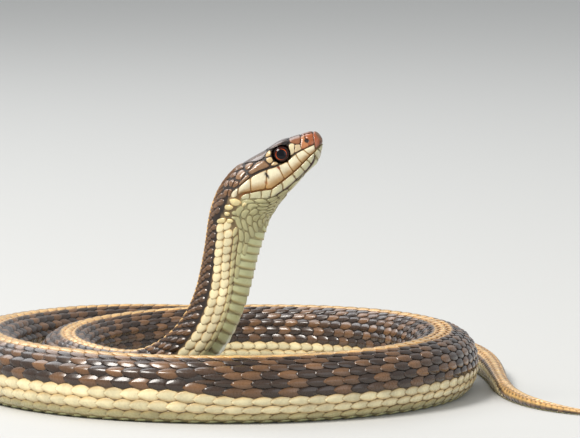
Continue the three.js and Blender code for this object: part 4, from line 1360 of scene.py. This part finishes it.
def scale_colours(home, patch, along, turn):
    row = np.abs(home[:, 2])
    own = markings(home[:, 0] + COLOUR_SPOT, np.abs(home[:, 1]))
    near = markings(home[:, 0] + COLOUR_SPOT, np.abs(turn))
    colour = np.where((row == 1)[:, None], near, own)
    colour = colour * (0.86 + 0.28 * scatter(home[:, 0], home[:, 1]))[:, None]
    # Each scale is painted darker along its edges and at its root: painted shade where it curves away and
    # where the scale in front lies over it.
    edge = passed(np.abs(patch[:, 1]), 0.55, 1)
    root = 1 - smooth(patch[:, 0] / 0.3)
    pale = (colour.mean(axis=1) > PALE_LIGHT)[:, None]
    rim = np.where(pale, colour * RIM_SHADE_TINT, colour * 0.35)
    return mix(colour, rim, np.maximum(0.75 * edge, 0.7 * root))


LIGHT_ROWS = 7
SECTIONS = [["neck_scales", 12, 62, True], ["front_scales", 62, 190, False],
            ["middle_scales", 190, 330, False], ["rear_scales", 330, 466, False],
            ["tail_scales", 466, 600, False]]


def join_flat(name, flats):
    objects = [placed(f"{name}_{k}", flat) for k, flat in enumerate(flats)]
    with bpy.context.temp_override(active_object=objects[0], selected_editable_objects=objects):
        bpy.ops.object.join()
    mesh = objects[0].data
    bpy.data.objects.remove(objects[0])
    return mesh


def part_of(spots, keep):
    return {key: value[keep] for key, value in spots.items()}


def lay_section(name, start, end, fine):
    spots = dorsal_spots(start, end)
    row = np.abs(spots["home"][:, 2])
    light, dark = row >= LIGHT_ROWS, (row > 1) & (row < LIGHT_ROWS)
    if fine:
        spots["room"][dark, 1] *= blend(0.86, 1, passed(spots["along"][dark], 44, 60))
    keel_model, smooth_model = (fine_keeled, fine_smooth) if fine else (keeled, plain)
    overlap, breadth = (1.12, 1.0) if fine else (1.32, 1.12)
    flats = [
        lay_carpet(name, keel_model, part_of(spots, ~light), overlap, breadth, scale_finish),
        lay_carpet(name, smooth_model, part_of(spots, light), 1.28, 1.1, scale_finish, seed=11),
    ]
    print(name, "scales", len(row))
    return wrap_carpet(name, join_flat(name, flats), scale_colours)


coat = [head_plates] + [lay_section(*section) for section in SECTIONS]

# %% [markdown]
# ## Belly
# Under the body lies one wide scute after another, each with its free edge to the rear, and
# under the tail they come in pairs. They are laid in the same flat way, from a wide model.


# %% The wide scute
def scute_mesh(name, columns, rows):
    points, local = [], []
    for x in np.linspace(0, 1, rows):
        for y in np.linspace(-1, 1, columns):
            corner = 1 - 0.12 * abs(2 * x - 1) ** 3
            curve = 0.16 * (1 - y * y) * x
            height = -0.5 + 1.0 * x - 0.9 * max(abs(y) - 0.93, 0) / 0.07 * 0.5
            points.append([x + curve - 0.08, 0.5 * y * corner, height])
            local.append([x, y, height])
    faces, rim = sheet_faces(rows, columns)
    count = len(points)
    points += [[x - 0.04, y * 0.99, min(z - 0.35, -0.35)] for x, y, z in points]
    faces += [[k + count for k in face[::-1]] for face in faces]
    faces += [[b, a, a + count, b + count] for a, b in rim]
    return scale_model(name, points, faces, local + local)


wide_scute = scute_mesh("wide_scute", 33, 6)
half_scute = scute_mesh("half_scute", 15, 6)


SCUTE_THICKNESS = 1.5


def scute_half(along):
    return (1 - belly_edge(along)) * passed(along, 19, 30)


def scute_spots(start, end, paired):
    counts = np.arange(math.ceil(scale_count(start)), math.ceil(scale_count(end)))
    along = length_of_count(counts)
    pitch = through(SCALE_PITCH, along)
    half = scute_half(along)
    thick = SCUTE_THICKNESS * thickness(along)
    turn, width = np.ones_like(along), 2.04 * half
    if paired:
        along = np.concatenate([along, along + 0.5 * pitch])
        turn = np.concatenate([1 - 0.5 * half, 0.5 * half - 1])
        pitch, thick = np.tile(pitch, 2), np.tile(thick, 2)
        width = 1.04 * np.tile(half, 2)
    keep = along < TOTAL_LENGTH - BARE_TIP - 0.3
    spots = {"along": along, "turn": turn, "twist": np.zeros((len(along), 3)),
             "room": np.stack([pitch, width * CARPET_WIDTH, thick], axis=-1),
             "home": np.stack([along, turn, np.full_like(along, 20)], axis=-1)}
    return part_of(spots, keep)


def scute_colours(home, patch, along, turn):
    colour = markings(home[:, 0] + COLOUR_SPOT, np.ones(len(home)))
    edge = passed(patch[:, 0], 0.8, 1)
    colour = mix(colour, OCHRE, 0.35 * edge)
    spot = np.hypot((patch[:, 0] - 0.25) / 0.3, (np.abs(patch[:, 1]) - 0.86) / 0.07)
    dark = (1 - passed(spot, 0.6, 1.1)) * passed(home[:, 0], 30, 40)
    return mix(colour, DARK_SCALE, 0.8 * dark)


def lay_scutes(start, end, overlap, paired=False):
    spots = scute_spots(start, end, paired)
    print("scutes from", start, "to", end, "mm:", len(spots["along"]))
    model, seed = (half_scute, 4) if paired else (wide_scute, 3)
    return lay_carpet("belly", model, spots, overlap, 1.0, belly_finish, seed, variation=0.02)


flats = [lay_scutes(20.5, 62, 1.6), lay_scutes(62, VENT, 1.3),
         lay_scutes(VENT, TOTAL_LENGTH, 1.3, paired=True)]
coat.append(wrap_carpet("belly_scutes", join_flat("belly", flats), scute_colours))

# %% [markdown]
# ### The throat
# Between the chin shields, the jaw and the first wide scutes lie small oval scales, cream
# with a green tinge, in slanting rows.


# %% Throat scales
THROAT_SCALE = {"length": 2.5, "breadth": 1.12, "fill": 0.52, "power": 2.6}
THROAT_FRONT = [[0, 8.4], [1, 9.8], [2, 12.2], [9, 12.6]]
THROAT_LINES, THROAT_END = 9, 36


def throat_edge(along):
    chin = np.abs(turn_at(along, through(CHIN_EDGE, along)))
    return blend(chin, belly_edge(along), passed(along, 19.5, 22.5)) * CARPET_WIDTH


def throat_plates():
    length, breadth = THROAT_SCALE["length"], THROAT_SCALE["breadth"]
    angle = np.linspace(0, 2 * math.pi, 26, endpoint=False)
    oval = np.stack([np.cos(angle), np.sin(angle)], axis=-1)
    oval = np.sign(oval) * np.abs(oval) ** (2 / THROAT_SCALE["power"]) * THROAT_SCALE["fill"]
    plates = []
    for k in range(THROAT_LINES):
        first = np.interp(k, *np.array(THROAT_FRONT).T) + 0.5 * length * (k % 2)
        for middle in np.arange(first + 0.5 * length, THROAT_END, length):
            along = middle + oval[:, 0] * length
            across = throat_edge(along) + (k + 0.5 + oval[:, 1]) * breadth
            line = line_at(along, np.minimum(across / CARPET_WIDTH, 0.995))
            room_left = CARPET_WIDTH * (1 - scute_half(middle)) - across.mean()
            hidden = covered(np.array([middle]), np.array([line.mean()]), 1.1)[0]
            if room_left < -1.5 * breadth or hidden:
                continue
            for side in (1, -1):
                loop = one_way_round(np.stack([along, side * line], axis=-1))
                plates.append(("throat", loop, 1))
    return plates


coat.append(joined_plates("throat_scales", throat_plates(), belly_finish))

# %% [markdown]
# ## Eyes
# A flattened ball behind a clear scale: a round black pupil, a thin orange ring, a dark red
# brown iris and a black rim. The rings are painted by the distance from the middle, and the
# clear scale is a glossy coat over all of it.


# %% Eyeballs
EYE_RING_LIGHT = 10
PUPIL_CENTRE = (-0.16, -0.08)
PUPIL_RADIUS, RING_END, IRIS_END = 0.92, 1.12, 1.42
EYE_RINGS, EYE_SPOKES = 72, 72


def make_eye(name, side):
    middle, *axes = eye_axes(side)
    theta = np.linspace(0, math.pi, EYE_RINGS + 1)[1:-1, None, None]
    phi = np.linspace(0, 2 * math.pi, EYE_SPOKES, endpoint=False)[:, None]
    flat = np.cos(phi) * axes[0] + np.sin(phi) * axes[1]
    pole = EYE["bulge"] * axes[2]
    ball = EYE["radius"] * np.sin(theta) * flat + np.cos(theta) * pole
    points = middle + np.vstack([pole, ball.reshape(-1, 3), -pole])
    grid, turned, faces = ring_faces(len(theta), EYE_SPOKES, 1)
    faces += fan(0, grid[0], turned[0]) + fan(len(points) - 1, turned[-1], grid[-1])
    corner, below, beside = points[grid[0, 0]], points[grid[1, 0]], points[turned[0, 0]]
    if np.dot(np.cross(below - corner, beside - corner), corner - middle) < 0:
        faces = [face[::-1] for face in faces]
    seen, _ = eye_view(points, side)
    radius = np.hypot(seen[:, 0], seen[:, 1])
    pupil = np.linalg.norm(seen[:, :2] - PUPIL_CENTRE, axis=1)
    colour = np.broadcast_to(IRIS, (len(points), 3))
    angle = np.arctan2(seen[:, 1], seen[:, 0])
    bright = 0.08 + 0.92 * np.cos(angle - math.radians(EYE_RING_LIGHT)) ** 2
    colour = mix(colour, IRIS_RING, band(pupil, RING_END - 0.09, RING_END, 0.06) * bright)
    # The pupil is near black with a faint blue tint: a painted blue sheen.
    colour = mix(colour, PUPIL, 1 - smooth((pupil - PUPIL_RADIUS) / 0.06))
    colour = mix(colour, IRIS_RIM, smooth((radius - IRIS_END) / 0.12))
    uv = 0.5 + 0.45 * seen[:, :2] / EYE["radius"]
    return new_mesh(name, points, faces, eye_finish, colour, uv)


eye_finish = painted_material("clear_eye", roughness=0.05, coat=0.1, mottle=0.1,
                              grain_size=900, grain_depth=0.0, specular=0.25)
eyes = [make_eye("eye_right_ball", 1), make_eye("eye_left_ball", -1)]

# %% [markdown]
# ## What rides on what
# The skin stands for every solid of flesh, so the plain solids are hidden and stay only for
# the collisions. The model is still, so all of it rides on the root.

# %% Riding and replacing
FLESH = [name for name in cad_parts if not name.startswith("eye")]
for piece in [skin, *coat, *eyes]:
    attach(piece, ROOT)
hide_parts(*FLESH)
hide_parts("eye_right")
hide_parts("eye_left")

# %% [markdown]
# ## Studio
# A plain pale floor, a large soft light from the upper left, as the sun stood, a weaker one
# from the right, and one above the back for the gloss on the crown.


# %% Floor and lights
FLOOR_SIZE = 10.0
FLOOR_COLOUR = (0.6, 0.6, 0.585, 1)
FLOOR_GAP = 0.0001
LIGHTS_AIM = Vector((0.0, -0.03, 0.03))


def make_floor():
    half = FLOOR_SIZE / 2
    mesh = bpy.data.meshes.new("studio_floor")
    mesh.from_pydata([[-half, -half, 0], [half, -half, 0], [half, half, 0], [-half, half, 0]],
                     [], [[0, 1, 2, 3]])
    material, _, _, shader = new_material("pale_floor", 0.8, specular=0.2)
    shader.inputs["Base Color"].default_value = FLOOR_COLOUR
    mesh.materials.append(material)
    floor = placed("studio_floor", mesh)
    floor.location.z = -FLOOR_GAP


def make_light(name, place, size, power, colour=(1, 1, 1)):
    data = bpy.data.lights.new(name, "AREA")
    data.size = size
    data.energy = power
    data.color = colour
    light = placed(name, data)
    light.location = place
    light.rotation_euler = (LIGHTS_AIM - Vector(place)).to_track_quat("-Z", "Y").to_euler()


make_floor()
make_light("sun_side", (-0.6, -0.45, 0.95), 0.42, 14, (1.0, 0.96, 0.9))
make_light("fill_side", (0.9, -0.8, 0.5), 0.9, 2.5, (0.92, 0.96, 1.0))
make_light("rim_top", (-0.4, 0.55, 0.8), 0.7, 4, (0.95, 0.97, 1.0))
world = bpy.data.worlds.new("studio")
world.use_nodes = True
sky = world.node_tree.nodes["Background"].inputs
sky["Color"].default_value = (0.9, 0.93, 0.96, 1)
sky["Strength"].default_value = 0.55
bpy.context.scene.world = world

# %% [markdown]
# ## Camera
# The photo was taken from almost level with the head and from the side, through a long lens.
# One pixel is about a fifth of a millimetre at the head.

# %% The photo's framing
PHOTO_WIDTH, PHOTO_HEIGHT = 580, 438
MM_PER_PIXEL = 0.2
SNOUT_PIXEL = (322.9, 138.7)
LOOK_DOWN = 6.0
DISTANCE = 0.95
SENSOR = 36.0


def make_camera():
    tip = frame_at(np.array([0.0]))[0][0] + SHIFT
    tilt = math.radians(LOOK_DOWN)
    right = np.array([1.0, 0, 0])
    forward = np.array([0, math.cos(tilt), -math.sin(tilt)])
    above = np.array([0, math.sin(tilt), math.cos(tilt)])
    across = (SNOUT_PIXEL[0] - PHOTO_WIDTH / 2) * MM_PER_PIXEL
    raised = (PHOTO_HEIGHT / 2 - SNOUT_PIXEL[1]) * MM_PER_PIXEL
    aim = (tip - across * right - raised * above) * MM
    data = bpy.data.cameras.new("photo_camera")
    data.sensor_width = SENSOR
    data.lens = SENSOR * DISTANCE / (PHOTO_WIDTH * MM_PER_PIXEL * MM)
    data.clip_start, data.clip_end = 0.01, 20
    camera = placed("photo_camera", data)
    camera.location = aim - forward * DISTANCE
    camera.rotation_euler = (math.radians(90 - LOOK_DOWN), 0, 0)
    bpy.context.scene.camera = camera
    bpy.context.scene.view_settings.view_transform = "Standard"
    print("camera height, m", round(camera.location.z, 3), "lens", round(data.lens, 1))


make_camera()

# %% Clearing away the model scales
for model in (fine_keeled, keeled, fine_smooth, plain, wide_scute, half_scute):
    bpy.data.objects.remove(model)
bpy.context.view_layer.update()
